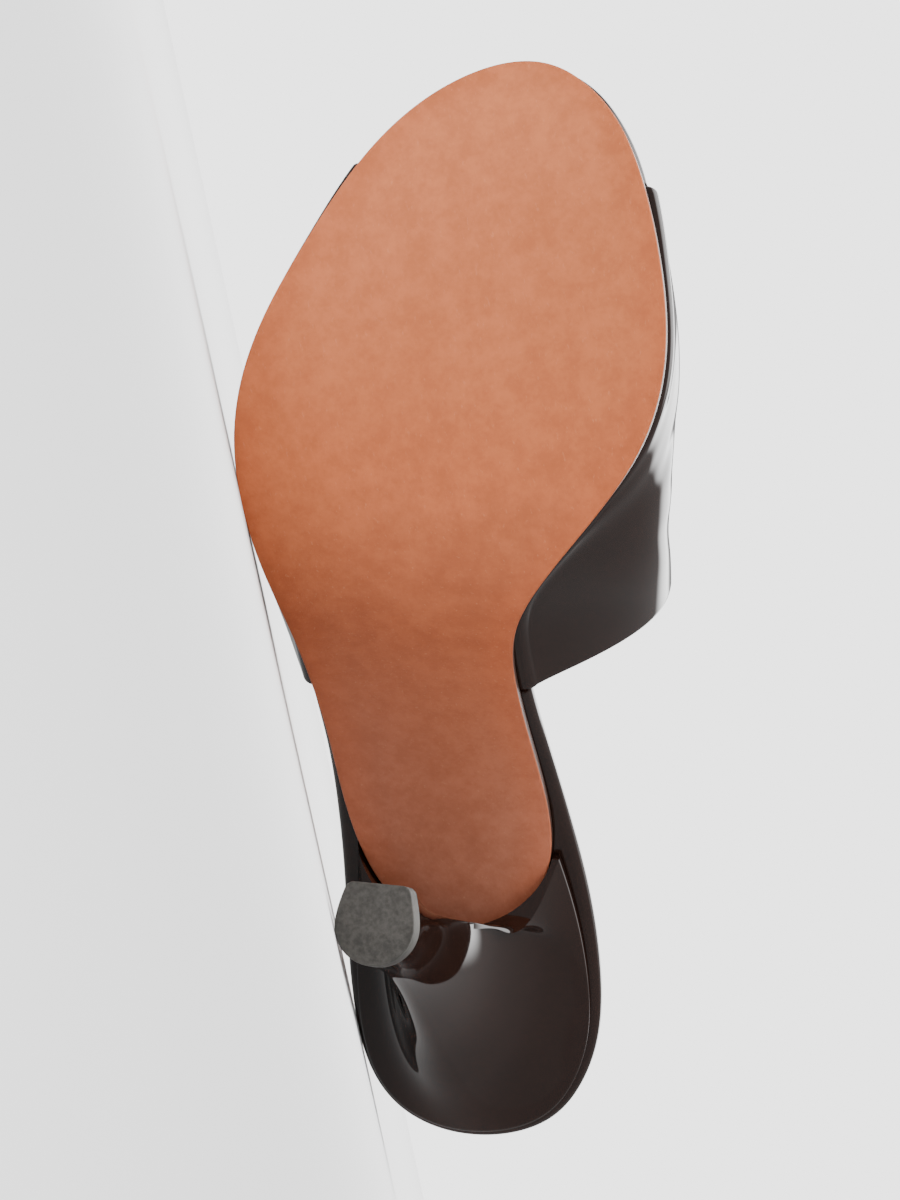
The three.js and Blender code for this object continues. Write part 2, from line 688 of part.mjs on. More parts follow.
// How the shoe lies on its outer side: the face of the hull of all pieces that the centre of mass is
// over, among those that look to the outer side, becomes the lowest one
function restingFace(meshes) {
  const points = [];
  const centre = new THREE.Vector3();
  let volume = 0;
  for (const { geometry } of meshes) {
    const { position } = geometry.attributes;
    for (let i = 0; i < position.count; i += 1) {
      points.push(new THREE.Vector3().fromBufferAttribute(position, i));
    }
    const part = volumeAndCentre(position, geometry.index.array);
    centre.addScaledVector(part.centre, part.volume);
    volume += part.volume;
  }
  centre.divideScalar(volume);
  const outerSide = new THREE.Vector3(0, -1, 0);
  const ray = new THREE.Ray();
  const hit = new THREE.Vector3();
  const { faces } = new ConvexHull().setFromPoints(points);
  const facesOut = faces.filter((face) => face.normal.dot(outerSide) > LEAST_LOOK_OUT);
  const isUnder = (face) => {
    const corners = [];
    let edge = face.edge;
    do {
      corners.push(edge.head().point);
      edge = edge.next;
    } while (edge !== face.edge);
    ray.set(centre, face.normal);
    const meets = (corner, i) => ray.intersectTriangle(corners[0], corners[i + 1], corner, false, hit);
    return corners.slice(2).some(meets);
  };
  return facesOut.find(isUnder).normal;
}

const shoe = new THREE.Group();
for (const piece of PIECES) shoe.add(toMesh(piece));

const down = restingFace(shoe.children);
const toHeel = new THREE.Vector3(-1, 0, 0).projectOnPlane(down).normalize();
const up = down.clone().negate();
const toInstep = new THREE.Vector3().crossVectors(up, toHeel);
shoe.quaternion.setFromRotationMatrix(new THREE.Matrix4().makeBasis(toHeel, toInstep, up).invert());
const box = new THREE.Box3().setFromObject(shoe, true);
const middle = box.getCenter(new THREE.Vector3());
shoe.position.set(-middle.x, -middle.y, -box.min.z);

export default shoe;
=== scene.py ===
"""Dresses an open-toe high-heeled mule, a right shoe lying on its outer side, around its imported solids.

Every surface is worked out in the shoe's own frame, in millimetres: x runs from the back of the seat to
the toe, y to the inner (big toe) side and z up from the floor that it is worn on. Places on the sole are
given as along, across and up: along the curve of the sole's underside, across it, and up at a right
angle to it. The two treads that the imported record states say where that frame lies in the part's frame.
"""

import json
import logging
import math
from dataclasses import dataclass, field
from enum import Enum

import bmesh
import bpy
import numpy as np
from mathutils import Matrix, Vector

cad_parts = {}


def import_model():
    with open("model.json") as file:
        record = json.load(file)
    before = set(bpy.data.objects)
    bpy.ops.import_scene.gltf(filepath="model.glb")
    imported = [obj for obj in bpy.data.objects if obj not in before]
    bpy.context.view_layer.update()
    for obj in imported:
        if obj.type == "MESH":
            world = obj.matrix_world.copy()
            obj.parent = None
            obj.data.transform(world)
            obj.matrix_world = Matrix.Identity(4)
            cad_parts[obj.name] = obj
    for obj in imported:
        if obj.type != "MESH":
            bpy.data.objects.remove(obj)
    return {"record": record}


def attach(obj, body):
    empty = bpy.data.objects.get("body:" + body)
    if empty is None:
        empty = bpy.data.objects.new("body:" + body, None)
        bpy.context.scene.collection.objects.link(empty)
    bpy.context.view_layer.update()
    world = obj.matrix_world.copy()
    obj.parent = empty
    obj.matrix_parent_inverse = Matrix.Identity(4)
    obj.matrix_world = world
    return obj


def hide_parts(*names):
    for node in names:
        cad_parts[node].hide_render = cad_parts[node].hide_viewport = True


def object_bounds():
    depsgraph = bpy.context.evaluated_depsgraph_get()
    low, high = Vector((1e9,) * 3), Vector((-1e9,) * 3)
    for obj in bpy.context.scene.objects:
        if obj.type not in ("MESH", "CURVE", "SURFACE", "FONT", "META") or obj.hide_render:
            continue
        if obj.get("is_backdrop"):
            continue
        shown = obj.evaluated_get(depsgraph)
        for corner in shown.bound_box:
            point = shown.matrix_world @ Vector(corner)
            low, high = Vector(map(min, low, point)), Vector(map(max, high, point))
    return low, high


LOG = logging.getLogger("mule")
MM = 0.001
TURN = 2 * math.pi
HALVINGS = 40
MERGED_BELOW = 0.004 * MM
SHORTEST_EDGE = 0.001 * MM
MIDDLE = (0.0, 0.0, 0.04)
Points = np.ndarray
Colour = tuple[float, float, float]
Place = tuple[float, float, float]
Size = tuple[float, float]


class Slot(Enum):
    """The record's material slots."""

    SOLE = "sole_leather"
    PATENT = "patent_leather"
    RUBBER = "heel_rubber"


class Side(Enum):
    """The two sides of the shoe, with the sign that they have across it."""

    OUTER = -1
    INNER = 1


def linear(red: int, green: int, blue: int) -> Colour:
    """Turns a display colour into scene values.

    Args:
        red: Red from 0 to 255.
        green: Green from 0 to 255.
        blue: Blue from 0 to 255.

    Returns:
        The three values with the display curve taken out.
    """
    shares = (red / 255, green / 255, blue / 255)
    return tuple(s / 12.92 if s <= 0.04045 else ((s + 0.055) / 1.055) ** 2.4 for s in shares)


def blend(start: Points, end: Points, share: Points) -> Points:
    """Goes from start to end by a share."""
    return start + (end - start) * share


def smooth(value: Points, low: Points, high: Points) -> Points:
    """Rises from 0 at low to 1 at high, level at both ends: 3 t squared minus 2 t cubed."""
    share = np.clip((value - low) / (high - low), 0, 1)
    return share * share * (3 - 2 * share)


def put(name: str, data: bpy.types.ID) -> bpy.types.Object:
    """Makes an object and puts it in the scene.

    Args:
        name: The object's name.
        data: Its mesh, light or camera.

    Returns:
        The object.
    """
    thing = bpy.data.objects.new(name, data)
    bpy.context.scene.collection.objects.link(thing)
    return thing


class Spline:
    """Smooth cubic curve through values at rising knots, closed on itself when it has a period."""

    def __init__(self, knots: list[float], values: list[float], period: float = 0.0) -> None:
        """Solves for the curve's second derivatives, which are the same on both sides of each knot.

        Args:
            knots: Rising places.
            values: The curve's values there.
            period: Length after which the curve repeats, or 0 for an open curve with straight ends.
        """
        self.period = period
        self.x = np.array([*knots, knots[0] + period] if period else knots, float)
        self.y = np.array([*values, values[0]] if period else values, float)
        step = np.diff(self.x)
        rise = np.diff(self.y) / step
        count = len(self.x) - 1 if period else len(self.x)
        inner = np.arange(0 if period else 1, len(self.x) - 1)
        matrix = np.eye(count)
        right = np.zeros(count)
        matrix[inner, inner] = 0
        np.add.at(matrix, (inner, (inner - 1) % count), step[inner - 1])
        np.add.at(matrix, (inner, inner), 2 * (step[inner - 1] + step[inner]))
        np.add.at(matrix, (inner, (inner + 1) % count), step[inner])
        right[inner] = 6 * (rise[inner] - rise[inner - 1])
        bend = np.linalg.solve(matrix, right)
        self.bend = np.append(bend, bend[0]) if period else bend

    def __call__(self, at: Points) -> Points:
        """Gives the curve's values, from the two nearest knots' values and bends.

        Args:
            at: Places. Those of a closed curve may be any number of periods away.

        Returns:
            The values there.
        """
        place = self.x[0] + np.mod(at - self.x[0], self.period) if self.period else np.asarray(at)
        i = np.clip(np.searchsorted(self.x, place) - 1, 0, len(self.x) - 2)
        step = self.x[i + 1] - self.x[i]
        a, b = (self.x[i + 1] - place) / step, (place - self.x[i]) / step
        curve = (a**3 - a) * self.bend[i] + (b**3 - b) * self.bend[i + 1]
        return a * self.y[i] + b * self.y[i + 1] + curve * step * step / 6


@dataclass
class Last:
    """The last that the shoe is built on: the curve of the sole's underside and the places around it.

    Each row of slopes has a share of the curve and how much of the seat's, the shank's and the toe's
    slope the curve has there.
    """

    curve: float = 235.2
    width: float = 80.0
    seat_height: float = 88.0
    seat_angle: float = 8.5
    toe_angle: float = 13.0
    steepest: float = 85.0
    steps: int = 944
    slopes: tuple[tuple[float, ...], ...] = (
        (0, 1, 0, 0),
        (0.41, 0, 1, 0),
        (0.5, 0, 1, 0),
        (0.745, 0, 0, 0),
        (0.83, 0, 0, 0),
        (1, 0, 0, -1),
    )

    def __post_init__(self) -> None:
        """Finds by halving the shank's slope that brings the seat to its height."""
        low, high = 0.0, self.steepest
        for _ in range(HALVINGS):
            self.shank_angle = (low + high) / 2
            self.profile = self.underside()
            if self.profile[0, 1] < self.seat_height:
                low = self.shank_angle
            else:
                high = self.shank_angle

    def slope(self, share: Points) -> Points:
        """Slope of the underside, smooth between the rows of slopes.

        Args:
            share: Shares of its curve.

        Returns:
            The slopes in radians.
        """
        rows = np.array(self.slopes, float)
        i = np.clip(np.searchsorted(rows[:, 0], share), 1, len(rows) - 1)
        part = smooth(share, rows[i - 1, 0], rows[i, 0])[..., None]
        mix = blend(rows[i - 1, 1:], rows[i, 1:], part)
        return np.radians(mix @ np.array([self.seat_angle, self.shank_angle, self.toe_angle]))

    def underside(self) -> Points:
        """Walks along the underside's middle line in short steps, each at its own slope.

        Returns:
            Its points x and z, the lowest at height 0.
        """
        slope = self.slope((np.arange(self.steps) + 0.5) / self.steps)
        step = self.curve / self.steps
        runs = np.stack([np.cos(slope), -np.sin(slope)], axis=-1) * step
        points = np.vstack([[0.0, 0.0], np.cumsum(runs, axis=0)])
        points[:, 1] -= points[:, 1].min()
        return points

    def place(self, along: Points, across: Points, up: Points) -> Points:
        """Points of the shoe: the underside's point at along, moved up at a right angle to its slope.

        Args:
            along: Distance along the underside. Past its ends it runs on straight.
            across: Distance towards the inner side.
            up: Height above the underside.

        Returns:
            Points x, y and z in the shoe's frame.
        """
        along, across, up = np.broadcast_arrays(along, across, up)
        share = np.clip(along / self.curve, 0, 1)
        beyond = along - share * self.curve
        knots = np.linspace(0, 1, self.steps + 1)
        slope = self.slope(share)
        x = np.interp(share, knots, self.profile[:, 0]) + beyond * np.cos(slope) + up * np.sin(slope)
        z = np.interp(share, knots, self.profile[:, 1]) - beyond * np.sin(slope) + up * np.cos(slope)
        return np.stack([x, across, z], axis=-1)


@dataclass
class Outline:
    """Closed outline of a flat layer, as half widths on either side of the sole's middle line.

    The angle runs once round it, from the back along the inner side to the toe and back along the outer
    side. Each row has a share of the layer's length, and the outer and inner half width as shares of the
    ball's width.
    """

    last: Last
    start: float
    end: float
    back_shift: float
    toe_shift: float
    rows: tuple[tuple[float, float, float], ...]

    def __post_init__(self) -> None:
        """Makes the closed curve of places across over the angle."""
        angles = [math.acos(1 - 2 * along) for along, _, _ in self.rows]
        inner = [row[2] * self.last.width for row in self.rows]
        outer = [-row[1] * self.last.width for row in self.rows]
        knots = [0.0, *angles, math.pi, *(TURN - a for a in reversed(angles))]
        values = [self.back_shift, *inner, self.toe_shift, *reversed(outer)]
        self.across = Spline(knots, values, TURN)

    def along(self, angle: Points) -> Points:
        """Distance along the sole at an angle: a cosine, so the two ends are round."""
        return blend(self.start, self.end, (1 - np.cos(angle)) / 2)

    def angle(self, along: Points) -> Points:
        """Angle of the inner side at a distance along the sole."""
        return np.arccos(1 - 2 * np.clip((along - self.start) / (self.end - self.start), 0, 1))

    def at(self, angle: Points, inset: Points = 0.0) -> tuple[Points, Points]:
        """Places on the outline, or inside it at a right angle to it.

        Args:
            angle: Angles of the places.
            inset: How far inside they are.

        Returns:
            The places along and across.
        """
        nudge = 0.001
        run = self.along(angle + nudge) - self.along(angle - nudge)
        turn = self.across(angle + nudge) - self.across(angle - nudge)
        length = np.hypot(run, turn)
        return self.along(angle) + turn / length * inset, self.across(angle) - run / length * inset

    def side(self, along: Points, side: Side, outside: float = 0.0) -> Points:
        """Place across of one side, or beside it.

        Args:
            along: Distances along the sole.
            side: Which side.
            outside: How far outside the outline, at a right angle to it.

        Returns:
            The places across.
        """

        def edge(at: Points) -> Points:
            """The outline's own place across."""
            angle = self.angle(at)
            return self.across(angle if side is Side.INNER else TURN - angle)

        half_step = 0.5
        slope = edge(along + half_step) - edge(along - half_step)
        return edge(along) + side.value * outside * np.hypot(1, slope)


class Skin:
    """Grids of points that are joined into one mesh, each point with a note that its material reads."""

    def __init__(self) -> None:
        """Starts with no grid."""
        self.points: list[Points] = []
        self.notes: list[Points] = []
        self.faces: list[Points] = []
        self.finishes: list[Points] = []

    def add(
        self, points: Points, notes: Points, ring: bool = False, finish: int | Points = 0
    ) -> "Skin":
        """Adds a grid.

        Args:
            points: Rows of points in the shoe's frame.
            notes: The note of each point, three numbers.
            ring: Whether each row is closed on itself.
            finish: Index of the material, one number or one for each face of the grid.

        Returns:
            The skin itself.
        """
        rows, columns = points.shape[:2]
        index = np.arange(rows * columns).reshape(rows, columns) + sum(map(len, self.points))
        if ring:
            index = np.hstack([index, index[:, :1]])
        corners = [index[:-1, :-1], index[1:, :-1], index[1:, 1:], index[:-1, 1:]]
        faces = np.stack(corners, axis=-1).reshape(-1, 4)
        self.points.append(points.reshape(-1, 3))
        self.notes.append(np.broadcast_to(notes, points.shape).reshape(-1, 3))
        self.faces.append(faces)
        self.finishes.append(np.broadcast_to(finish, (rows - 1, index.shape[1] - 1)).reshape(-1))
        return self

    def piece(self, name: str, shoe: "ShoeFrame", crisp: float = 40.0) -> bpy.types.Object:
        """Makes the object: doubles merged, faces turned outwards, and smooth up to an angle.

        Args:
            name: The object's name.
            shoe: Where the shoe lies.
            crisp: Angle in degrees from which an edge shows.

        Returns:
            The object, at the origin, with its place in its mesh.
        """
        mesh = bpy.data.meshes.new(name)
        points = shoe.lay_down(np.vstack(self.points))
        mesh.from_pydata(points, [], np.vstack(self.faces))
        mesh.polygons.foreach_set("material_index", np.concatenate(self.finishes).astype(np.int32))
        note = mesh.attributes.new("note", "FLOAT_VECTOR", "POINT")
        note.data.foreach_set("vector", np.vstack(self.notes).astype(np.float32).ravel())
        shape = bmesh.new()
        shape.from_mesh(mesh)
        bmesh.ops.remove_doubles(shape, verts=shape.verts, dist=MERGED_BELOW)
        bmesh.ops.dissolve_degenerate(shape, edges=shape.edges, dist=SHORTEST_EDGE)
        bmesh.ops.recalc_face_normals(shape, faces=shape.faces)
        shape.to_mesh(mesh)
        shape.free()
        mesh.shade_smooth()
        mesh.set_sharp_from_angle(angle=math.radians(crisp))
        return put(name, mesh)


@dataclass
class ShoeFrame:
    """Where the shoe's frame lies in the part's, from the two treads that the record states."""

    record: dict
    tread: Size = (150.0, 2.0)
    heel_tread: Size = (37.0, -2.5)

    def __post_init__(self) -> None:
        """Works out the axes: z against the treads' normal, x and y from the way between the treads."""
        mounts = {mount["name"]: mount for mount in self.record["mounts"]}
        tread, heel = (np.array(mounts[name]["pos_m"]) for name in ("tread", "heel_tread"))
        up = -np.array(mounts["tread"]["axis"])
        up /= np.linalg.norm(up)
        way = tread - heel
        way -= up * (way @ up)
        way /= np.linalg.norm(way)
        apart = np.subtract(self.tread, self.heel_tread)
        run, turn = apart / np.hypot(*apart)
        aside = np.cross(up, way)
        self.axes = np.array([way * run - aside * turn, way * turn + aside * run, up])
        self.origin = tread - MM * (self.axes[0] * self.tread[0] + self.axes[1] * self.tread[1])

    def lay_down(self, points: Points) -> Points:
        """Turns points of the shoe's frame in millimetres into the part's frame in metres."""
        return points @ self.axes * MM + self.origin

    def direction(self, vector: Place) -> Vector:
        """Turns a direction of the shoe's frame into the part's."""
        return Vector(np.array(vector) @ self.axes).normalized()


@dataclass
class Crease:
    """A soft trough or ridge on the vamp, straight between two places on it.

    A place is a share of the way from the front edge to the rear one, and of the way round from the
    outer margin to the inner one. A positive height is a ridge.
    """

    start: Size
    end: Size
    breadth: float
    height: float


class Wire:
    """A node's output that Python's operators add Math nodes to."""

    def __init__(self, graph: "Graph", socket: bpy.types.NodeSocket) -> None:
        """Keeps the socket and the graph that it is in."""
        self.graph = graph
        self.socket = socket

    def _math(self, operation: str, *values: "Wire | float") -> "Wire":
        """Adds a Math node and gives its result."""
        return self.graph.add("ShaderNodeMath", {"operation": operation}, dict(enumerate(values)))

    def __add__(self, other: "Wire | float") -> "Wire":
        """Sum."""
        return self._math("ADD", self, other)

    __radd__ = __add__

    def __sub__(self, other: "Wire | float") -> "Wire":
        """Difference."""
        return self._math("SUBTRACT", self, other)

    def __rsub__(self, other: float) -> "Wire":
        """Difference, from a number."""
        return self._math("SUBTRACT", other, self)

    def __mul__(self, other: "Wire | float") -> "Wire":
        """Product."""
        return self._math("MULTIPLY", self, other)

    __rmul__ = __mul__

    def __pow__(self, other: float) -> "Wire":
        """Power."""
        return self._math("POWER", self, other)

    def rising(self, low: float, high: float) -> "Wire":
        """Rises smoothly from 0 at low to 1 at high."""
        values = {"Value": self, "From Min": low, "From Max": high}
        return self.graph.add("ShaderNodeMapRange", {"interpolation_type": "SMOOTHSTEP"}, values)


class Graph:
    """One material's nodes."""

    def __init__(self, name: str) -> None:
        """Makes the material with an empty node tree."""
        self.material = bpy.data.materials.new(name)
        self.material.use_nodes = True
        self.nodes = self.material.node_tree.nodes
        self.nodes.clear()

    def add(self, kind: str, settings: dict, inputs: dict, output: int | str = 0) -> Wire:
        """Adds a node.

        Args:
            kind: The node's type.
            settings: Its settings. Under stops, a colour ramp's places and colours.
            inputs: Values or wires by socket name or number.
            output: Name or number of the output that is wanted.

        Returns:
            That output.
        """
        node = self.nodes.new(kind)
        for key, value in settings.items():
            if key == "stops":
                ramp = node.color_ramp.elements
                for extra in range(len(value) - len(ramp)):
                    ramp.new(0.5 + 0.1 * extra)
                for element, (place, colour) in zip(ramp, value):
                    element.position, element.color = place, (*colour, 1)
            else:
                setattr(node, key, value)
        for key, value in inputs.items():
            socket = node.inputs[key]
            if isinstance(value, Wire):
                self.material.node_tree.links.new(value.socket, socket)
            elif isinstance(value, tuple) and socket.type == "RGBA":
                socket.default_value = (*value, 1)
            else:
                socket.default_value = value
        return Wire(self, node.outputs[output])

    def place(self, stretch: Place = (1, 1, 1)) -> Wire:
        """Place on the piece in metres, stretched along the part's axes."""
        where = self.add("ShaderNodeTexCoord", {}, {}, "Object")
        return self.add("ShaderNodeMapping", {}, {"Vector": where, "Scale": stretch})

    def note(self, axis: str) -> Wire:
        """One of the three numbers that the mesh's points carry as a note."""
        note = self.add("ShaderNodeAttribute", {"attribute_name": "note"}, {}, "Vector")
        return self.add("ShaderNodeSeparateXYZ", {}, {"Vector": note}, axis)

    def noise(self, size: float, where: Wire, detail: float = 2.0, roughness: float = 0.5) -> Wire:
        """Noise from 0 to 1 with spots of a size in millimetres."""
        values = {"Vector": where, "Scale": 1 / (size * MM), "Detail": detail, "Roughness": roughness}
        return self.add("ShaderNodeTexNoise", {}, values, "Fac")

    def cells(self, size: float, where: Wire) -> Wire:
        """Distance to the nearest cell's middle, for grain, with cells of a size in millimetres."""
        values = {"Vector": where, "Scale": 1 / (size * MM), "Smoothness": 0.6}
        return self.add("ShaderNodeTexVoronoi", {"feature": "SMOOTH_F1"}, values, "Distance")

    def mix(
        self, share: Wire | float, first: Wire | Colour, second: Wire | Colour, way: str = "MIX"
    ) -> Wire:
        """Mixes two colours by a share."""
        settings = {"data_type": "RGBA", "blend_type": way}
        return self.add("ShaderNodeMix", settings, {0: share, 6: first, 7: second}, 2)

    def tint(self, colour: Wire | Colour, share: Wire, low: Colour, high: Colour) -> Wire:
        """Multiplies a colour by a tint that goes from low to high by a share."""
        return self.mix(1.0, colour, self.mix(share, low, high), "MULTIPLY")

    def ramp(self, share: Wire, stops: list[tuple[float, Colour]]) -> Wire:
        """A colour that goes through stops."""
        return self.add("ShaderNodeValToRGB", {"stops": stops}, {"Fac": share})

    def bump(self, height: Wire, depth: float, under: Wire | None = None) -> Wire:
        """Relief from a height.

        Args:
            height: The height from 0 to 1.
            depth: How deep that is, in millimetres.
            under: Another relief that it lies on.

        Returns:
            The relief.
        """
        values = {"Height": height, "Distance": depth * MM, "Strength": 1.0}
        if under is not None:
            values["Normal"] = under
        return self.add("ShaderNodeBump", {}, values)

    def surface(self, inputs: dict) -> bpy.types.Material:
        """Ends the material with one shader.

        Args:
            inputs: The shader's values or wires by socket name.

        Returns:
            The finished material.
        """
        shader = self.add("ShaderNodeBsdfPrincipled", {}, inputs)
        output = self.nodes.new("ShaderNodeOutputMaterial")
        self.material.node_tree.links.new(shader.socket, output.inputs["Surface"])
        return self.material


@dataclass(frozen=True)
class Patent:
    """Patent leather: a very dark brown under a clear glossy film that lies in soft waves.

    Each row of relief has the size and the depth of its waves in millimetres.
    """

    name: str = "patent"
    dark: Colour = linear(20, 10, 7)
    light: Colour = linear(32, 17, 12)
    cloud: float = 22.0
    dust: float = 3.5
    relief: tuple[Size, ...] = ((9.0, 0.3), (3.0, 0.03), (1.6, 0.003))
    roughness: float = 0.16
    dustiness: float = 0.16
    film: float = 0.9
    film_roughness: float = 0.03
    film_index: float = 1.5

    def material(self) -> bpy.types.Material:
        """Makes the nodes.

        Returns:
            The finished material.
        """
        graph = Graph(self.name)
        where = graph.place()
        cloud = graph.noise(self.cloud, where, 3)
        dust = graph.noise(self.dust, where, 4, 0.65)
        relief = None
        for size, depth in self.relief:
            relief = graph.bump(graph.noise(size, where, 1), depth, relief)
        return graph.surface({
            "Base Color": graph.mix(cloud, self.dark, self.light),
            "Roughness": self.roughness + dust * self.dustiness,
            "Specular IOR Level": 0.0,
            "Coat Weight": self.film + cloud * (1 - self.film),
            "Coat Roughness": self.film_roughness,
            "Coat IOR": self.film_index,
            "Normal": relief,
        })


@dataclass(frozen=True)
class SoleLeather:
    """Smooth sole leather: tan at the toe, darker up the shank, redder towards both edges, with painted
    light at the shank's end.

    Tones are the colours of shank, waist, ball and toe, each with its share of the sole's length. A
    tint is a pair of colours that the tone is multiplied by: of dark and light patches, and of
    painted light, lighter on the outer side and darker on the inner one.
    """

    name: str = "sole_leather"
    tones: tuple[tuple[float, Colour], ...] = (
        # Shank: lighter than the waist, as painted light that lifts the shade under the heel.
        (0.18, (0.315, 0.116, 0.069)),
        (0.5, (0.258, 0.067, 0.026)),
        (0.66, (0.40, 0.104, 0.035)),
        (0.95, (0.46, 0.134, 0.05)),
    )
    length: float = 235.0
    half_width: float = 40.0
    tone_drift: float = 0.06
    edge: Colour = (0.36, 0.076, 0.023)
    edge_share: float = 0.3
    edge_width: float = 9.0
    edge_drift: float = 5.0
    patch_tint: tuple[Colour, Colour] = ((0.88, 0.85, 0.82), (1.08, 1.1, 1.12))
    # Painted light across the sole: a tint that lightens the outer side and darkens the inner one.
    painted_side_light: tuple[Colour, Colour] = ((1.1, 1.13, 1.18), (0.95, 0.94, 0.93))
    fleck: Colour = (0.7, 0.35, 0.2)
    fleck_share: float = 0.12
    grain_depth: float = 0.04
    fibre_depth: float = 0.03
    roughness: float = 0.42
    gloss: float = 0.22

    def material(self) -> bpy.types.Material:
        """Makes the nodes. The note holds along, across and the distance from the edge.

        Returns:
            The finished material.
        """
        graph = Graph(self.name)
        where = graph.place()
        cloud = graph.noise(16, where, 4, 0.6)
        mottle = graph.noise(4.0, where, 3, 0.6)
        grain = graph.noise(1.1, where, 5, 0.7)
        fibre = graph.noise(0.35, where, 3, 0.6)
        pores = graph.cells(0.7, where)
        flecks = graph.noise(0.5, graph.place((0.35, 1, 1)), 3, 0.6).rising(0.6, 0.75)
        patches = (mottle * 0.4 + grain * 0.35 + cloud * 0.25).rising(0.35, 0.65)
        drift = cloud - 0.5
        # Share across the sole from the outer side to the inner one, for the painted light that lightens
        # the outer side.
        side = graph.note("Y").rising(-self.half_width, self.half_width)
        rim = 1 - (graph.note("Z") + drift * self.edge_drift).rising(0.0, self.edge_width)
        body = graph.ramp(graph.note("X") * (1 / self.length) + drift * self.tone_drift, self.tones)
        body = graph.mix(rim * self.edge_share, body, self.edge)
        body = graph.tint(body, patches, *self.patch_tint)
        body = graph.tint(body, side, *self.painted_side_light)
        relief = graph.bump(grain, self.grain_depth)
        return graph.surface({
            "Base Color": graph.mix(flecks * self.fleck_share, body, self.fleck),
            "Roughness": self.roughness + grain * 0.2,
            "Specular IOR Level": self.gloss,
            "Normal": graph.bump(fibre * 0.6 + pores * 0.4, self.fibre_depth, relief),
        })


@dataclass(frozen=True)
class Leather:
    """Plain dyed leather with a fine grain: the sock, the vamp's lining and the dressed sole edge."""

    name: str
    colour: Colour
    roughness: float = 0.5
    wax: float = 0.05
    wax_roughness: float = 0.3
    tint: tuple[Colour, Colour] = ((0.8, 0.79, 0.78), (1.12, 1.12, 1.13))
    grain_depth: float = 0.04
    fine_depth: float = 0.015

    def material(self) -> bpy.types.Material:
        """Makes the nodes.

        Returns:
            The finished material.
        """
        graph = Graph(self.name)
        where = graph.place()
        cloud = graph.noise(14, where, 3)
        fine = graph.noise(0.5, where, 3, 0.6)
        relief = graph.bump(graph.cells(0.8, where), self.grain_depth)
        return graph.surface({
            "Base Color": graph.tint(self.colour, cloud * 0.6 + fine * 0.4, *self.tint),
            "Roughness": self.roughness + fine * 0.15,
            "Coat Weight": self.wax,
            "Coat Roughness": self.wax_roughness,
            "Normal": graph.bump(fine, self.fine_depth, relief),
        })


@dataclass(frozen=True)
class HeelRubber:
    """The top piece's hard grey rubber with a fine pebbled tread."""

    name: str = "heel_rubber"
    dark: Colour = linear(43, 41, 38)
    light: Colour = linear(71, 68, 64)
    roughness: float = 0.55
    pebble_depth: float = 0.16

    def material(self) -> bpy.types.Material:
        """Makes the nodes.

        Returns:
            The finished material.
        """
        graph = Graph(self.name)
        where = graph.place()
        pebble = graph.noise(0.9, where, 3, 0.6)
        speckle = graph.noise(0.3, where, 3, 0.7)
        cloud = graph.noise(5, where, 3)
        share = pebble * 0.5 + speckle * 0.2 + cloud * 0.3
        return graph.surface({
            "Base Color": graph.mix(share.rising(0.3, 0.7), self.dark, self.light),
            "Roughness": self.roughness + speckle * 0.25,
            "Normal": graph.bump(pebble * 0.8 + speckle * 0.2, self.pebble_depth),
        })


@dataclass(frozen=True)
class Backdrop:
    """The studio's plain pale paper."""

    name: str = "backdrop"
    light: Colour = (0.9, 0.9, 0.9)
    dark: Colour = (0.882, 0.882, 0.882)
    cloud: float = 40.0
    roughness: float = 0.9

    def material(self) -> bpy.types.Material:
        """Makes the nodes.

        Returns:
            The finished material.
        """
        graph = Graph(self.name)
        shade = graph.mix(graph.noise(self.cloud, graph.place()), self.light, self.dark)
        return graph.surface({
            "Base Color": shade,
            "Roughness": self.roughness,
            "Specular IOR Level": 0.0,
        })


@dataclass(frozen=True)
class Glow:
    """A studio card that only gloss shows, from its middle's glow fading to its edges' one.

    Place is its middle and size its two sides in metres, and fade the share of it that fades.
    """

    name: str
    place: Place
    size: Size
    middle: float
    edge: float
    fade: float
    facing: Place = MIDDLE

    def material(self) -> bpy.types.Material:
        """Makes the nodes. The note holds the place on the card, from -1 to 1 on both its sides.

        Returns:
            The finished material.
        """
        graph = Graph(self.name)
        share = 1.0
        for axis in ("X", "Y"):
            place = graph.note(axis)
            share = (1 - place * place).rising(0.0, self.fade) * share
        most = max(self.middle, self.edge)
        low, high = ((value / most,) * 3 for value in (self.edge, self.middle))
        return graph.surface({
            "Base Color": (0.0, 0.0, 0.0),
            "Specular IOR Level": 0.0,
            "Emission Color": graph.mix(share, low, high),
            "Emission Strength": most,
        })


@dataclass(frozen=True)
class Lamp:
    """A rectangular soft light that gloss doesn't show, with its place and its two sides in metres."""

    name: str
    place: Place
    size: Size
    power: float


def fill(ring: Points, steps: int) -> Points:
    """Fills a closed ring with straight rows, each from a point to the one opposite.

    Args:
        ring: The ring's points, from the middle of one end round to it again.
        steps: Steps in each row.

    Returns:
        The rows of points.
    """
    half = len(ring) // 2 + 1
    other = ring[-np.arange(half) % len(ring)]
    return blend(ring[:half, None], other[:, None], np.linspace(0, 1, steps + 1)[:, None])


def fill_layer(ring: Points, steps: int, last: Last) -> tuple[Points, Points]:
    """Fills a ring of places on the last with rows from one side to the other.

    Args:
        ring: Its places along, across and up, from the back round the inner side.
        steps: Steps in each row.
        last: The last that the places are on.

    Returns:
        The rows of points, and their notes: along, across and the distance from the nearer side.
    """
    along, across, up = np.moveaxis(fill(ring, steps), -1, 0)
    share = np.linspace(0, 1, steps + 1)
    depth = np.abs(across[:, :1] - across[:, -1:]) * np.minimum(share, 1 - share)
    return last.place(along, across, up), np.stack([along, across, depth], axis=-1)


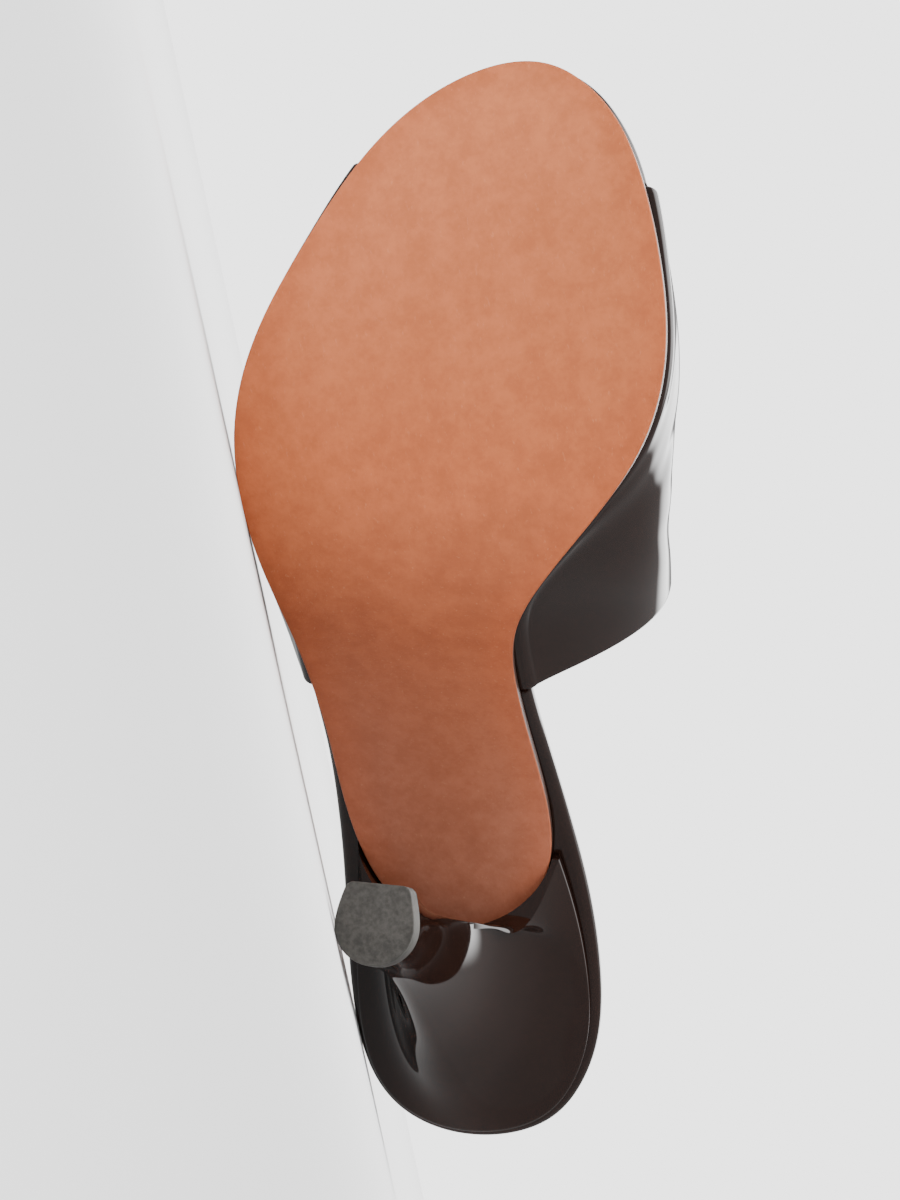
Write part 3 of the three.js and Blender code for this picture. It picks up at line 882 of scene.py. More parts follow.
def relaxed(ring: Points, breadth: float) -> Points:
    """Smooths a closed ring of evenly spaced points with a bell curve.

    Args:
        ring: The ring's points.
        breadth: The curve's breadth in points.

    Returns:
        The smoothed ring.
    """
    wave = np.fft.fftfreq(len(ring)) * TURN
    bell = np.exp(-((wave * breadth) ** 2) / 2)[:, None]
    return np.fft.ifft(np.fft.fft(ring, axis=0) * bell, axis=0).real


@dataclass
class Sole:
    """The flat layers under the foot: outsole, insole with its wrapped rim, and the sock on it."""

    last: Last
    thickness: float = 2.0
    edge_round: float = 0.4
    gap: float = 0.3
    insole_thickness: float = 4.2
    sock_thickness: float = 0.7
    sock_inset: float = 1.5
    sock_sunk: float = 0.2
    sock_round: float = 0.3
    rise_out: Size = (0.1, 0.9)
    half_steps: int = 360
    fill_steps: int = 20
    edge_steps: int = 4
    rim_steps: int = 8
    crisp: float = 50.0
    outsole: Outline = field(init=False)
    insole: Outline = field(init=False)

    def __post_init__(self) -> None:
        """Makes the two outlines."""
        curve = self.last.curve
        self.outsole = Outline(self.last, start=41.8, end=curve, back_shift=-2.9, toe_shift=9.6, rows=(
            (0.052, 0.241, 0.169), (0.101, 0.288, 0.203), (0.149, 0.311, 0.203), (0.222, 0.328, 0.184),
            (0.32, 0.355, 0.161), (0.417, 0.401, 0.181), (0.514, 0.458, 0.31), (0.611, 0.495, 0.463),
            (0.708, 0.464, 0.517), (0.806, 0.364, 0.484), (0.891, 0.251, 0.415), (0.951, 0.13, 0.33),
            (0.982, 0.027, 0.248),
        ))
        self.insole = Outline(self.last, start=0.0, end=curve + 0.6, back_shift=0.9, toe_shift=9.4, rows=(
            (0.02, 0.18, 0.208), (0.05, 0.254, 0.278), (0.1, 0.303, 0.318), (0.16, 0.325, 0.31),
            (0.22, 0.333, 0.281), (0.28, 0.34, 0.245), (0.34, 0.348, 0.214), (0.42, 0.366, 0.185),
            (0.47, 0.376, 0.177), (0.52, 0.396, 0.187), (0.6, 0.45, 0.302), (0.68, 0.486, 0.449),
            (0.76, 0.454, 0.503), (0.84, 0.358, 0.472), (0.91, 0.254, 0.416), (0.96, 0.138, 0.335),
            (0.985, 0.037, 0.26),
        ))

    @property
    def under_insole(self) -> float:
        """Height of the insole's underside."""
        return self.thickness + self.gap

    @property
    def insole_top(self) -> float:
        """Height of the insole's top."""
        return self.under_insole + self.insole_thickness

    def ring(self, extra: Points | None = None) -> Points:
        """Angles once round an outline, the same on both sides.

        Args:
            extra: Angles of the inner side near which there are more of them.

        Returns:
            The angles, rising from 0.
        """
        half = np.linspace(0, math.pi, self.half_steps + 1)
        if extra is not None:
            reach, count, clear = 0.02, 25, 0.01
            near = (extra[:, None] + np.linspace(-reach, reach, count)).ravel()
            half = np.union1d(half, near[(near > clear) & (near < math.pi - clear)])
        return np.concatenate([half, TURN - half[-2:0:-1]])

    def layer(
        self, outline: Outline, angles: Points, levels: list[tuple[Points | float, Points | float]],
        edge_finish: int | Points = 0,
    ) -> Skin:
        """A layer: rings of the outline from its top to its underside, and rows that fill both faces.

        Args:
            outline: The layer's outline.
            angles: Angles of the rings' points.
            levels: Inset and height of each ring, as numbers or as one value for each point.
            edge_finish: Index of the edge's material.

        Returns:
            The closed skin.
        """
        rings = np.array([
            np.broadcast_arrays(*outline.at(angles, inset), up) for inset, up in levels
        ]).swapaxes(1, 2)
        body = self.last.place(*np.moveaxis(rings, -1, 0))
        skin = Skin().add(body, rings * [1, 1, 0], ring=True, finish=edge_finish)
        for ring in (rings[0], rings[-1]):
            skin.add(*fill_layer(ring, self.fill_steps, self.last))
        return skin

    def rounded(self, bottom: Points | float, top: float, radius: Points | float, steps: int) -> list:
        """Levels of an edge that is rounded by a quarter circle above and below.

        Args:
            bottom: Height of the underside.
            top: Height of the top.
            radius: Radius of the quarter circles.
            steps: Steps in each of them.

        Returns:
            Inset and height of each level, from the top down.
        """
        turns = np.linspace(0, math.pi / 2, steps + 1)
        above = [(radius * (1 - math.sin(t)), top - radius * (1 - math.cos(t))) for t in turns]
        below = [(radius * (1 - math.cos(t)), bottom + radius * (1 - math.sin(t))) for t in turns]
        return above + below

    def make_outsole(self, shoe: ShoeFrame) -> bpy.types.Object:
        """Makes the outsole, its side in a second finish down to the rounding at the tread.

        Args:
            shoe: Where the shoe lies.

        Returns:
            The outsole.
        """
        levels = self.rounded(0.0, self.thickness, self.edge_round, self.edge_steps)
        finish = np.array([[1]] * (self.edge_steps + 1) + [[0]] * self.edge_steps)
        skin = self.layer(self.outsole, self.ring(), levels, finish)
        return skin.piece("outsole_skin", shoe, self.crisp)

    def make_insole(self, shoe: ShoeFrame, vamp: "Vamp") -> bpy.types.Object:
        """Makes the insole with its round wrapped rim, thinner where the vamp's margins lie under it.

        Args:
            shoe: Where the shoe lies.
            vamp: The vamp. Just past its margins the insole reaches its whole thickness.

        Returns:
            The insole.
        """
        ends = np.array([reach for side in Side for reach in vamp.reach(side)])
        angles = self.ring(self.insole.angle(ends))
        along, _ = self.insole.at(angles)
        inner = np.array(vamp.reach(Side.INNER))
        outer = np.array(vamp.reach(Side.OUTER))
        rear, front = np.where(angles[:, None] < math.pi, inner, outer).T
        near, far = self.rise_out
        covered = smooth(along, rear - far, rear - near) * (1 - smooth(along, front + near, front + far))
        bottom = self.under_insole + covered * (vamp.wall + self.gap)
        radius = (self.insole_top - bottom) / 2
        levels = self.rounded(bottom, self.insole_top, radius, self.rim_steps)
        return self.layer(self.insole, angles, levels).piece("insole_skin", shoe, self.crisp)

    def make_sock(self, shoe: ShoeFrame) -> bpy.types.Object:
        """Makes the sock, a thin sheet of leather a little inside the insole's rim.

        Args:
            shoe: Where the shoe lies.

        Returns:
            The sock.
        """
        low, high = self.insole_top - self.sock_sunk, self.insole_top + self.sock_thickness
        levels = self.rounded(low, high, self.sock_round, self.edge_steps)
        levels = [(inset + self.sock_inset, up) for inset, up in levels]
        return self.layer(self.insole, self.ring(), levels).piece("sock", shoe, self.crisp)


@dataclass
class Vamp:
    """The one-piece vamp: sections from the front edge to the rear one, each from margin to margin.

    Each row of sections has a share of the way; the section's lean in degrees, the crown's height as a
    share of the instep's, the crown's place across and the widest places on the outer and inner side as
    shares of the ball's width, and the heights of those places as shares of the crown's.
    """

    last: Last
    sole: Sole
    wall: float = 1.5
    front: float = 213.0
    rear: float = 100.5
    skew: float = 8.0
    scoop: float = 7.0
    instep: float = 50.0
    margin: float = 9.0
    feather: float = 1.5
    turned_edge: float = 3.0
    sections: tuple[tuple[float, ...], ...] = (
        (0, -32, 0.51, 0.1, 0.322, 0.445, 0.38, 0.38),
        (0.25, -7, 0.65, 0.1, 0.46, 0.51, 0.4, 0.38),
        (0.5, 12, 0.82, 0.09, 0.523, 0.508, 0.42, 0.42),
        (0.75, 30, 0.92, 0.07, 0.517, 0.488, 0.42, 0.48),
        (1, 45, 1, 0.05, 0.465, 0.457, 0.42, 0.54),
    )
    creases: tuple[Crease, ...] = (
        Crease((0.30, 0.66), (0.62, 0.80), 4.0, -0.35),
        Crease((0.42, 0.62), (0.72, 0.74), 3.0, 0.25),
        Crease((0.55, 0.78), (0.90, 0.66), 4.5, -0.3),
        Crease((0.62, 0.84), (0.97, 0.74), 3.5, 0.25),
        Crease((0.20, 0.76), (0.45, 0.86), 3.5, -0.22),
        Crease((0.35, 0.36), (0.62, 0.20), 4.5, -0.3),
        Crease((0.52, 0.42), (0.80, 0.28), 3.5, 0.22),
        Crease((0.66, 0.30), (0.95, 0.40), 4.0, -0.25),
        Crease((0.10, 0.40), (0.30, 0.58), 5.0, -0.18),
        Crease((0.72, 0.48), (0.92, 0.60), 5.0, 0.2),
        Crease((0.36, 0.79), (0.84, 0.93), 3.5, 0.35),
        Crease((0.48, 0.84), (0.95, 0.90), 3.0, -0.3),
    )
    run_steps: int = 150
    fold_steps: int = 8
    round_steps: int = 190
    columns: int = 36
    girth: float = 150.0
    stations: tuple[float, ...] = (2.0, 5.0, 10.0, 18.0)
    softened: float = 0.7
    soft_points: int = 5
    crisp: float = 60.0

    def __post_init__(self) -> None:
        """Makes a curve for each column of the sections."""
        rows = np.array(self.sections)
        self.curves = [Spline(rows[:, 0], column) for column in rows[:, 1:].T]
        self.length = self.front - self.rear

    def skewed(self, share: Points, across: Points) -> Points:
        """Distance along the sole: the sections run askew, more so towards the rear."""
        return self.front - share * self.length + self.skew * share * across / self.last.width

    def edge(self, share: Points, side: Side) -> Points:
        """Place across where a section meets the insole's rim, with the gap between the two.

        Args:
            share: Shares of the way from the front edge to the rear one.
            side: Which side.

        Returns:
            The places across.
        """
        base = self.front - share * self.length
        across = self.sole.insole.side(base, side, self.sole.gap)
        return self.sole.insole.side(self.skewed(share, across), side, self.sole.gap)

    def reach(self, side: Side) -> tuple[float, float]:
        """Distances along the sole of the vamp's rear and front edge on one side."""
        rear, front = (self.skewed(s, self.edge(np.array(s), side)) for s in (1.0, 0.0))
        return float(rear), float(front)

    def half_line(self, q: Points, side: Side, edge: Points, widest: Points, belly: Points,
                  ridge: Points, height: Points) -> tuple[Points, Points]:
        """One half of a section's inside line, from the margin (q 0) to the crown, by its stations.

        The margin is level to the first, a quarter circle turns up to the second, a quarter of a sine
        leads to the widest place at the third, and a quarter of an ellipse closes over the foot.

        Args:
            q: How far along the line.
            side: Which half.
            edge: Place across where the section meets the insole's rim.
            widest: Place across of the widest place.
            belly: Height of the widest place.
            ridge: Place across of the crown.
            height: Height of the crown.

        Returns:
            Places across and heights.
        """
        sign = side.value
        level, turned, widened, crown = self.stations
        turn = np.clip((q - level) / (turned - level), 0, 1) * math.pi / 2
        rise = np.clip((q - turned) / (widened - turned), 0, 1)
        over = np.clip((q - widened) / (crown - widened), 0, 1) * math.pi / 2
        parts = [q < level, q < turned, q < widened]
        across = np.select(parts, [
            edge - sign * blend(self.margin, self.feather, np.clip(q, 0, level) / level),
            edge - sign * self.feather * (1 - np.sin(turn)),
            blend(edge, widest, np.sin(math.pi / 2 * rise)),
        ], blend(ridge, widest, np.cos(over)))
        up = np.select(parts, [
            0 * edge,
            self.feather * (1 - np.cos(turn)),
            blend(self.feather, belly, rise),
        ], blend(belly, height, np.sin(over)))
        return across, up

    def inside(self, run: Points, column: Points) -> Points:
        """Points of the vamp's inside.

        Args:
            run: Distance from the front edge towards the rear one, measured along the sole.
            column: Place round the section, from 0 at the outer margin to 36 at the inner one.

        Returns:
            Points in the shoe's frame. The rear edge dips at the crown by the scoop.
        """
        dip = np.sin(math.pi * column / self.columns) ** 4
        share = run * (1 - dip * self.scoop / self.length) / self.length
        lean, height, ridge, outer, inner, outer_belly, inner_belly = (c(share) for c in self.curves)
        height = height * self.instep
        width = self.last.width
        outer_line = (self.edge(share, Side.OUTER), self.wall - outer * width, outer_belly * height)
        inner_line = (self.edge(share, Side.INNER), inner * width - self.wall, inner_belly * height)
        across, up = 0.0, 0.0
        nearby = np.linspace(-self.softened, self.softened, self.soft_points)
        for nudge in nearby:
            at = np.clip(column + nudge, 0, self.columns)
            first = self.half_line(at, Side.OUTER, *outer_line, ridge * width, height)
            second = self.half_line(self.columns - at, Side.INNER, *inner_line, ridge * width, height)
            is_outer = at < self.columns / 2
            across = across + np.where(is_outer, first[0], second[0]) / len(nearby)
            up = up + np.where(is_outer, first[1], second[1]) / len(nearby)
        base = self.last.place(self.skewed(share, across), across, self.sole.under_insole + self.wall)
        angle = np.radians(lean)
        rise = np.stack([np.sin(angle), np.zeros_like(angle), np.cos(angle)], axis=-1)
        return base + rise * up[..., None]

    def relief(self, run: Points, column: Points) -> Points:
        """Height of the creases: across each a bell curve, with ends that fade out.

        Args:
            run: Distance from the front edge.
            column: Place round the section.

        Returns:
            The heights in millimetres.
        """
        place = np.stack([run / self.length, column / self.columns], axis=-1)
        scale = np.array([self.length, self.girth])
        height = np.zeros(run.shape)
        for crease in self.creases:
            start, end = np.array(crease.start) * scale, np.array(crease.end) * scale
            way = end - start
            offset = place * scale - start
            part = (offset @ way) / (way @ way)
            aside = (offset[..., 0] * way[1] - offset[..., 1] * way[0]) / np.linalg.norm(way)
            fade = np.sin(math.pi * np.clip(part, 0, 1)) ** 2
            height += crease.height * fade * np.exp(-((aside / crease.breadth) ** 2))
        return height

    def wall_points(self, run: Points, column: Points, out: Points) -> Points:
        """Points at a distance outside the inside, at a right angle to it, with the creases.

        Args:
            run: Distance from the front edge.
            column: Place round the section.
            out: The distance.

        Returns:
            Points in the shoe's frame.
        """
        step = 0.05
        along = self.inside(run + step, column) - self.inside(run - step, column)
        low, high = np.clip(column - step, 0, None), np.clip(column + step, None, self.columns)
        around = self.inside(run, high) - self.inside(run, low)
        normal = np.cross(around, along)
        normal /= np.linalg.norm(normal, axis=-1, keepdims=True)
        shift = out + self.relief(run, column)
        return self.inside(run, column) + normal * shift[..., None]

    def speed(self, run: float, column: Points) -> Points:
        """How far the inside goes for each millimetre along the sole.

        Args:
            run: Distance from the front edge.
            column: Places round the section.

        Returns:
            The lengths.
        """
        step = 0.5
        low, high = (self.inside(np.full_like(column, run + s), column) for s in (-step, step))
        return np.linalg.norm(high - low, axis=-1) / (2 * step)

    def make(self, shoe: ShoeFrame) -> bpy.types.Object:
        """Makes the vamp as one closed skin: out over the patent, round each folded edge, and back inside.

        Each lengthwise loop runs over the outside from the front edge to the rear one, round the rear
        fold as a half circle, back along the inside, and round the front fold.

        Args:
            shoe: Where the shoe lies.

        Returns:
            The vamp.
        """
        half = self.wall / 2
        column = np.linspace(0, self.columns, self.round_steps + 1)
        front = half / self.speed(0.0, column)
        rear = half / self.speed(self.length, column)
        first, final = front, self.length - rear
        run_share = np.linspace(0, 1, self.run_steps + 1)[:, None]
        turn = np.linspace(0, math.pi, self.fold_steps + 2)[1:-1, None]
        forward = blend(first, final, run_share)
        level = np.ones_like(forward)
        runs = np.vstack([
            forward, final + rear * np.sin(turn), forward[::-1], first - front * np.sin(turn),
        ])
        outs = np.vstack([
            self.wall * level, half + half * np.cos(turn) * np.ones_like(column),
            0 * level, half - half * np.cos(turn) * np.ones_like(column),
        ])
        columns = np.broadcast_to(column, runs.shape)
        points = self.wall_points(runs, columns, outs)
        notes = np.stack([runs, columns, outs], axis=-1)
        inside = (outs < 0.01) & (runs > self.turned_edge) & (runs < self.length - self.turned_edge)
        loop = np.vstack([points, points[:1]])
        is_lining = np.vstack([inside, inside[:1]])
        finish = (is_lining[1:, 1:] & is_lining[:-1, 1:]).astype(int)
        skin = Skin().add(loop, np.vstack([notes, notes[:1]]), finish=finish)
        count = self.run_steps + 1
        back = slice(count + self.fold_steps, 2 * count + self.fold_steps)
        for end in (0, -1):
            cap = np.stack([points[:count, end], points[back, end][::-1]])
            skin.add(cap, np.stack([notes[:count, end], notes[back, end][::-1]]))
        return skin.piece("vamp_skin", shoe, self.crisp)


@dataclass
class Heel:
    """The covered heel and its top piece.

    Each row of flare has a share of the heel's height, and how far its sides, back and front have moved
    there from the top piece's outline to the seat's.
    """

    last: Last
    sole: Sole
    seat_back_inset: float = 1.0
    seat_outer_inset: float = 4.3
    seat_inner_inset: float = 3.2
    inset_growth: float = 1.5
    seat_lip: float = 1.2
    lip_round: float = 0.6
    wing: float = 60.0
    breast_depth: float = 18.0
    width: float = 15.2
    length: float = 15.5
    thickness: float = 5.5
    setback: float = 29.3
    shift: float = -2.5
    corner: float = 1.8
    taper: float = 1.2
    side_angle: float = 17.0
    edge_round: float = 0.35
    arc_steps: int = 144
    front_steps: int = 48
    level_steps: int = 90
    relaxing: float = 5.0
    row_steps: int = 12
    corner_points: int = 12
    side_points: int = 40
    back_points: int = 50
    lip_points: int = 7
    round_points: int = 5
    soft_by: float = 0.1
    crisp: float = 38.0
    tread_crisp: float = 30.0
    flare: tuple[tuple[float, ...], ...] = (
        (0, 0, 0, 0),
        (0.12, -0.02, 0.01, -0.15),
        (0.25, -0.045, 0.05, -0.28),
        (0.37, -0.045, 0.12, -0.38),
        (0.49, -0.01, 0.22, -0.45),
        (0.62, 0.07, 0.36, -0.47),
        (0.74, 0.2, 0.52, -0.48),
        (0.86, 0.42, 0.72, -0.47),
        (0.94, 0.68, 0.87, -0.35),
        (0.97, 0.83, 0.935, 0.1),
        (1, 1, 1, 1),
    )

    @property
    def foot(self) -> float:
        """Height of the heel's lowest face."""
        return self.thickness + self.sole.gap

    def tread_ring(self, inset: float = 0.0) -> Points:
        """Outline of the top piece, from the middle of its front round the outer side.

        A straight front, small round corners, sides that widen along a parabola, and a half circle at
        the back, walked in equal steps.

        Args:
            inset: How far inside the outline the ring is.

        Returns:
            Points x and y.
        """
        half = self.width / 2 - inset
        front = self.setback + self.length - inset
        centre = self.setback + self.width / 2
        corner = self.corner
        across = self.width / 2 - self.taper - corner - inset
        lean = math.radians(self.side_angle)
        turn = np.linspace(0, math.pi / 2 - lean, self.corner_points)
        round_corner = np.stack([
            front - corner + corner * np.cos(turn), -across - corner * np.sin(turn),
        ], axis=-1)
        start = round_corner[-1]
        bend = np.array([start[0] - (half + start[1]) / math.tan(lean), -half])
        end = np.array([centre, -half])
        t = np.linspace(0, 1, self.side_points)[1:, None]
        side = (1 - t) ** 2 * start + 2 * t * (1 - t) * bend + t * t * end
        turn = np.linspace(-math.pi / 2, -math.pi, self.back_points)[1:]
        back = np.stack([centre + half * np.cos(turn), half * np.sin(turn)], axis=-1)
        outer = np.vstack([[front, 0.0], round_corner, side, back])
        whole = np.vstack([outer, outer[-2::-1] * [1, -1]])
        run = np.append(0, np.cumsum(np.linalg.norm(np.diff(whole, axis=0), axis=1)))
        at = np.linspace(0, run[-1], self.arc_steps + self.front_steps + 1)[:-1]
        along, across = (np.interp(at, run, column) for column in whole.T)
        return np.stack([along, across + self.shift], axis=-1)

    def seat_ring(self) -> Points:
        """Outline of the seat: inside the insole's edge, with a straight front.

        Returns:
            Its places along and across.
        """
        outline = self.sole.insole
        corner = float(outline.angle(np.array(self.wing)))
        angle = np.linspace(-corner, corner, self.arc_steps + 1)
        share = outline.at(angle)[0] / self.wing
        wing_inset = np.where(angle < 0, self.seat_outer_inset, self.seat_inner_inset)
        inset = blend(self.seat_back_inset, wing_inset, np.abs(share) ** self.inset_growth)
        arc = np.stack(outline.at(angle, inset), axis=-1)
        middle = (arc[0] + arc[-1]) / 2
        t = np.arange(self.front_steps // 2)[:, None] / (self.front_steps // 2)
        return np.vstack([blend(middle, arc[0], t), arc, blend(middle, arc[-1], t[:0:-1])])

    def make(self, shoe: ShoeFrame) -> bpy.types.Object:
        """Makes the heel: levels between the two outlines, less the room for the outsole's tongue.

        A level's point is the tread's point moved towards the seat's, across by the side's flare and
        lengthwise by a mix of the front's and the back's, with a cosine of the way round.

        Args:
            shoe: Where the shoe lies.

        Returns:
            The heel.
        """
        low, seat = self.tread_ring(), self.seat_ring()
        soft = relaxed(low, self.relaxing)
        rows = np.array(self.flare)
        side, back, front = (Spline(rows[:, 0], column) for column in rows[:, 1:].T)
        part = np.linspace(0, 1, self.level_steps + 1)
        up = ((part + np.sin(math.pi / 2 * part)) / 2)[:, None]
        high = self.last.place(seat[:, 0], seat[:, 1], self.sole.thickness - self.seat_lip)
        backwards = (1 - np.cos(TURN * np.arange(len(low)) / len(low))) / 2
        start = blend(low, soft, smooth(up, 0.0, self.soft_by)[..., None])
        x = blend(start[..., 0], high[:, 0], blend(front(up), back(up), backwards))
        y = blend(start[..., 1], high[:, 1], side(up))
        z = blend(self.foot, high[:, 2], up)
        body = np.stack([x, y, z], axis=-1)
        top = self.last.place(seat[:, 0], seat[:, 1], self.sole.thickness)
        before, after = (way * self.lip_round / np.linalg.norm(way, axis=-1, keepdims=True)
                         for way in (body[-2] - high, top - high))
        t = np.linspace(0, 1, self.lip_points)[:, None, None]
        lip = high + (1 - t) ** 2 * before + t * t * after
        body = np.vstack([body[:-1], lip, top[None]])
        inner = fill(seat, self.row_steps)
        lid = self.last.place(inner[..., 0], inner[..., 1], self.sole.thickness)
        foot = fill(low, self.row_steps)
        foot = np.dstack([foot, np.full(foot.shape[:2], self.foot)])
        skin = Skin().add(body, body, ring=True).add(lid, lid).add(foot, foot)
        heel = skin.piece("heel_skin", shoe, self.crisp)
        self.cut(heel, shoe)
        return heel

    def cut(self, heel: bpy.types.Object, shoe: ShoeFrame) -> None:
        """Takes the room for the outsole's tongue out of the heel's breast, and applies the cut.

        Args:
            heel: The heel.
            shoe: Where the shoe lies.
        """
        sole = self.sole
        angles = sole.ring()
        along, across = sole.outsole.at(angles, -sole.gap)
        levels = [self.last.place(along, across, up) for up in (sole.under_insole, -sole.gap, -sole.gap)]
        levels[-1] = levels[-1] - np.array([0, 0, self.breast_depth])
        rings = np.array(levels)
        skin = Skin().add(rings, rings, ring=True)
        for up, drop in ((sole.under_insole, 0.0), (-sole.gap, self.breast_depth)):
            ring = np.stack([along, across, np.full_like(along, up)], axis=-1)
            rows, notes = fill_layer(ring, sole.fill_steps, self.last)
            skin.add(rows - np.array([0, 0, drop]), notes)
        cutter = skin.piece("tongue_room", shoe)
        cutting = heel.modifiers.new("breast", "BOOLEAN")
        cutting.operation, cutting.solver, cutting.object = "DIFFERENCE", "EXACT", cutter
        bpy.context.view_layer.update()
        depsgraph = bpy.context.evaluated_depsgraph_get()
        cut_mesh = bpy.data.meshes.new_from_object(heel.evaluated_get(depsgraph))
        heel.modifiers.clear()
        heel.data = cut_mesh
        cut_mesh.set_sharp_from_angle(angle=math.radians(self.crisp))
        bpy.data.objects.remove(cutter)

    def make_top_piece(self, shoe: ShoeFrame) -> bpy.types.Object:
        """Makes the top piece: its outline carried up, with a small rounding at the tread.

        Args:
            shoe: Where the shoe lies.

        Returns:
            The top piece.
        """
        turns = np.linspace(0, math.pi / 2, self.round_points)
        rings = []
        for turn in turns:
            ring = self.tread_ring(self.edge_round * (1 - math.sin(turn)))
            up = np.full((len(ring), 1), self.edge_round * (1 - math.cos(turn)))
            rings.append(np.hstack([ring, up]))
        top = rings[-1].copy()
        top[:, 2] = self.thickness
        rings.append(top)
        body = np.array(rings)
        skin = Skin().add(body, body, ring=True)
        for ring in (rings[0], top):
            rows = fill(ring, self.row_steps)
            skin.add(rows, rows)
        return skin.piece("top_piece_skin", shoe, self.tread_crisp)


@dataclass
class Studio:
    """Floor, lights and camera. The camera keeps the photograph's angle as far as the floor lets it."""

    shoe: ShoeFrame
    paper: Backdrop = Backdrop()
    view: Place = (0.139, 0.0, 0.990)
    aim: Place = (101.0, -1.0, 30.0)
    distance: float = 1.5
    lens: float = 236.0
    least_height: float = 0.012
    roll: float = -6.0
    surround: float = 0.5
    backdrop: float = 3.0
    sensor: float = 36.0
    clip: Size = (0.01, 50.0)
    floor: Size = (2.6, 2.6)
    lamps: tuple[Lamp, ...] = (
        Lamp("overhead", (-0.25, 0.1, 1.3), (1.8, 0.9), 50),
        Lamp("back", (-0.2, 1.7, 1.1), (1.8, 1.0), 36),
        Lamp("front", (0.25, -1.9, 0.2), (1.6, 1.0), 36),
    )
    glows: tuple[Glow, ...] = (
        Glow("overhead_glow", (-0.25, 0.42, 1.3), (1.8, 1.25), 6, 0.5, 1.0),
        Glow("back_glow", (-0.2, 1.7, 1.1), (2.2, 1.3), 6, 0.5, 0.7),
        Glow("toe_glow", (-1.7, 0.2, 0.9), (1.8, 1.6), 2.2, 0.5, 1.0),
        Glow("camera_card", (0.1, -1.7, 0.5), (2.4, 2.0), 0.05, 0.5, 1.0),
        Glow("floor_card", (0.0, -1.3, 0.0005), (6.0, 6.0), 0.45, 0.5, 0.5, (0.0, -1.3, 1.0)),
    )

    def build(self) -> None:
        """Builds all of it."""
        self.sheet("floor", self.floor, Matrix.Identity(4), self.paper.material())
        self.light()
        self.set_camera()

    def sheet(self, name: str, size: Size, place: Matrix, finish: bpy.types.Material) -> bpy.types.Object:
        """Makes a flat sheet, with the side that each corner is on as its note.

        Args:
            name: The sheet's name.
            size: Its two sides.
            place: Where it lies and how it is turned.
            finish: Its material.

        Returns:
            The sheet.
        """
        sides = [(-1, -1, 0), (1, -1, 0), (1, 1, 0), (-1, 1, 0)]
        points = [place @ Vector((x * size[0] / 2, y * size[1] / 2, 0)) for x, y, _ in sides]
        mesh = bpy.data.meshes.new(name)
        mesh.from_pydata(points, [], [(0, 1, 2, 3)])
        note = mesh.attributes.new("note", "FLOAT_VECTOR", "POINT")
        note.data.foreach_set("vector", np.array(sides, np.float32).ravel())
        mesh.materials.append(finish)
        sheet = put(name, mesh)
        sheet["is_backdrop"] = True
        return sheet

    def facing(self, place: Place, target: Place) -> Matrix:
        """A place from which a lamp or a card looks at a target."""
        turned = (Vector(target) - Vector(place)).to_track_quat("-Z", "Y")
        return Matrix.Translation(place) @ turned.to_matrix().to_4x4()

    def light(self) -> None:
        """Lights the shoe with a pale surround, soft lights, and cards that only its gloss shows."""
        world = bpy.data.worlds.new("studio")
        bpy.context.scene.world = world
        world.use_nodes = True
        nodes, links = world.node_tree.nodes, world.node_tree.links
        background = nodes["Background"]
        background.inputs["Color"].default_value = (1, 1, 1, 1)
        seen = nodes.new("ShaderNodeLightPath")
        strength = nodes.new("ShaderNodeMix")
        links.new(seen.outputs["Is Camera Ray"], strength.inputs[0])
        strength.inputs[2].default_value, strength.inputs[3].default_value = self.surround, self.backdrop
        links.new(strength.outputs[0], background.inputs["Strength"])
        for lamp in self.lamps:
            data = bpy.data.lights.new(lamp.name, "AREA")
            data.shape, data.size, data.size_y, data.energy = "RECTANGLE", *lamp.size, lamp.power
            light = put(lamp.name, data)
            light.matrix_world = self.facing(lamp.place, MIDDLE)
            light.visible_glossy = False
            light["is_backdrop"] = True
        for glow in self.glows:
            card = self.sheet(glow.name, glow.size, self.facing(glow.place, glow.facing), glow.material())
            card.visible_camera = card.visible_diffuse = card.visible_shadow = False

    def set_camera(self) -> None:
        """Sets the camera on the photograph's line of sight, raised to stay above the floor.

        The line of sight is turned up until the camera stands at its least height, and the picture's
        upright is the shoe's length, toe up.
        """
        sight = self.shoe.direction(self.view)
        aim = Vector(self.shoe.lay_down(np.array(self.aim)))
        slope = (aim.z - self.least_height) / self.distance
        if sight.z > slope:
            flat = Vector((sight.x, sight.y, 0)).normalized() * math.sqrt(1 - slope**2)
            sight = Vector((flat.x, flat.y, slope))
        toe = self.shoe.direction((1, 0, 0))
        upright = (toe - sight * toe.dot(sight)).normalized()
        upright = Matrix.Rotation(math.radians(self.roll), 3, sight) @ upright
        right = sight.cross(upright)
        camera = put("camera", bpy.data.cameras.new("camera"))
        camera.data.lens, camera.data.sensor_width = self.lens, self.sensor
        camera.data.clip_start, camera.data.clip_end = self.clip
        turned = Matrix((right, upright, -sight)).transposed().to_4x4()
        camera.matrix_world = Matrix.Translation(aim - sight * self.distance) @ turned
        bpy.context.scene.camera = camera


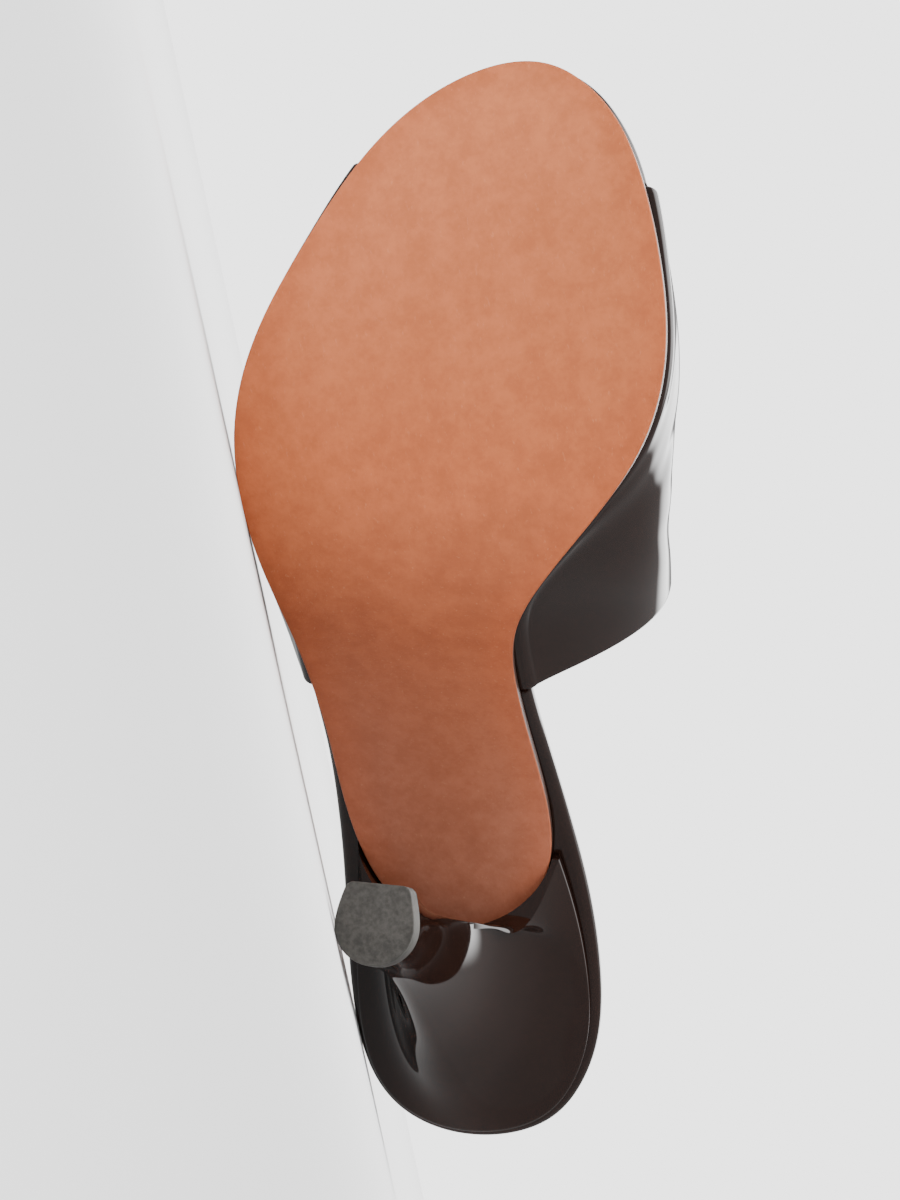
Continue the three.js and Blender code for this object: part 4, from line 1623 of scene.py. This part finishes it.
@dataclass
class Mule:
    """The whole shoe: its layers, vamp and heel, each dressed in its finishes."""

    shoe: ShoeFrame
    last: Last = field(default_factory=Last)

    def __post_init__(self) -> None:
        """Makes the sub-assemblies and the finishes."""
        self.sole = Sole(self.last)
        self.vamp = Vamp(self.last, self.sole)
        self.heel = Heel(self.last, self.sole)
        self.patent = Patent().material()
        self.sole_leather = SoleLeather().material()
        self.sole_edge = Leather("sole_edge", linear(58, 36, 26), 0.35, 0.3).material()
        self.lining = Leather("lining", linear(158, 108, 78)).material()
        self.rubber = HeelRubber().material()

    def dress(
        self, piece: bpy.types.Object, node: str | None, slot: Slot, *finishes: bpy.types.Material
    ) -> None:
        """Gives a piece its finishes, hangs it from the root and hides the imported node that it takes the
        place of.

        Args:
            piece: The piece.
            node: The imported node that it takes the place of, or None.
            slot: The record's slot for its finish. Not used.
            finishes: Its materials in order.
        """
        for finish in finishes:
            piece.data.materials.append(finish)
        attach(piece, "root")
        if node:
            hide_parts(node)
        LOG.info("%s: %d faces", piece.name, len(piece.data.polygons))

    def build(self) -> None:
        """Builds and dresses every piece."""
        shoe = self.shoe
        self.dress(self.sole.make_outsole(shoe), "outsole", Slot.SOLE, self.sole_leather, self.sole_edge)
        self.dress(self.sole.make_insole(shoe, self.vamp), "insole", Slot.PATENT, self.patent)
        self.dress(self.sole.make_sock(shoe), None, Slot.SOLE, self.lining)
        self.dress(self.vamp.make(shoe), "vamp", Slot.PATENT, self.patent, self.lining)
        self.dress(self.heel.make(shoe), "heel", Slot.PATENT, self.patent)
        self.dress(self.heel.make_top_piece(shoe), "top_piece", Slot.RUBBER, self.rubber)


def corners(box: tuple[Vector, Vector]) -> list[list[float]]:
    """Turns a box's two corners into plain lists."""
    return [list(corner) for corner in box]


def main() -> None:
    """Loads the frame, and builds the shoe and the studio."""
    logging.basicConfig(level=logging.INFO, format="%(name)s: %(message)s")
    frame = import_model()
    solid_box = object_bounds()
    shoe = ShoeFrame(frame["record"])
    Mule(shoe).build()
    Studio(shoe).build()
    sizes = {"cad": corners(solid_box), "visual": corners(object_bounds())}
    LOG.info("boxes: %s", sizes)


if __name__ == "__main__":
    main()
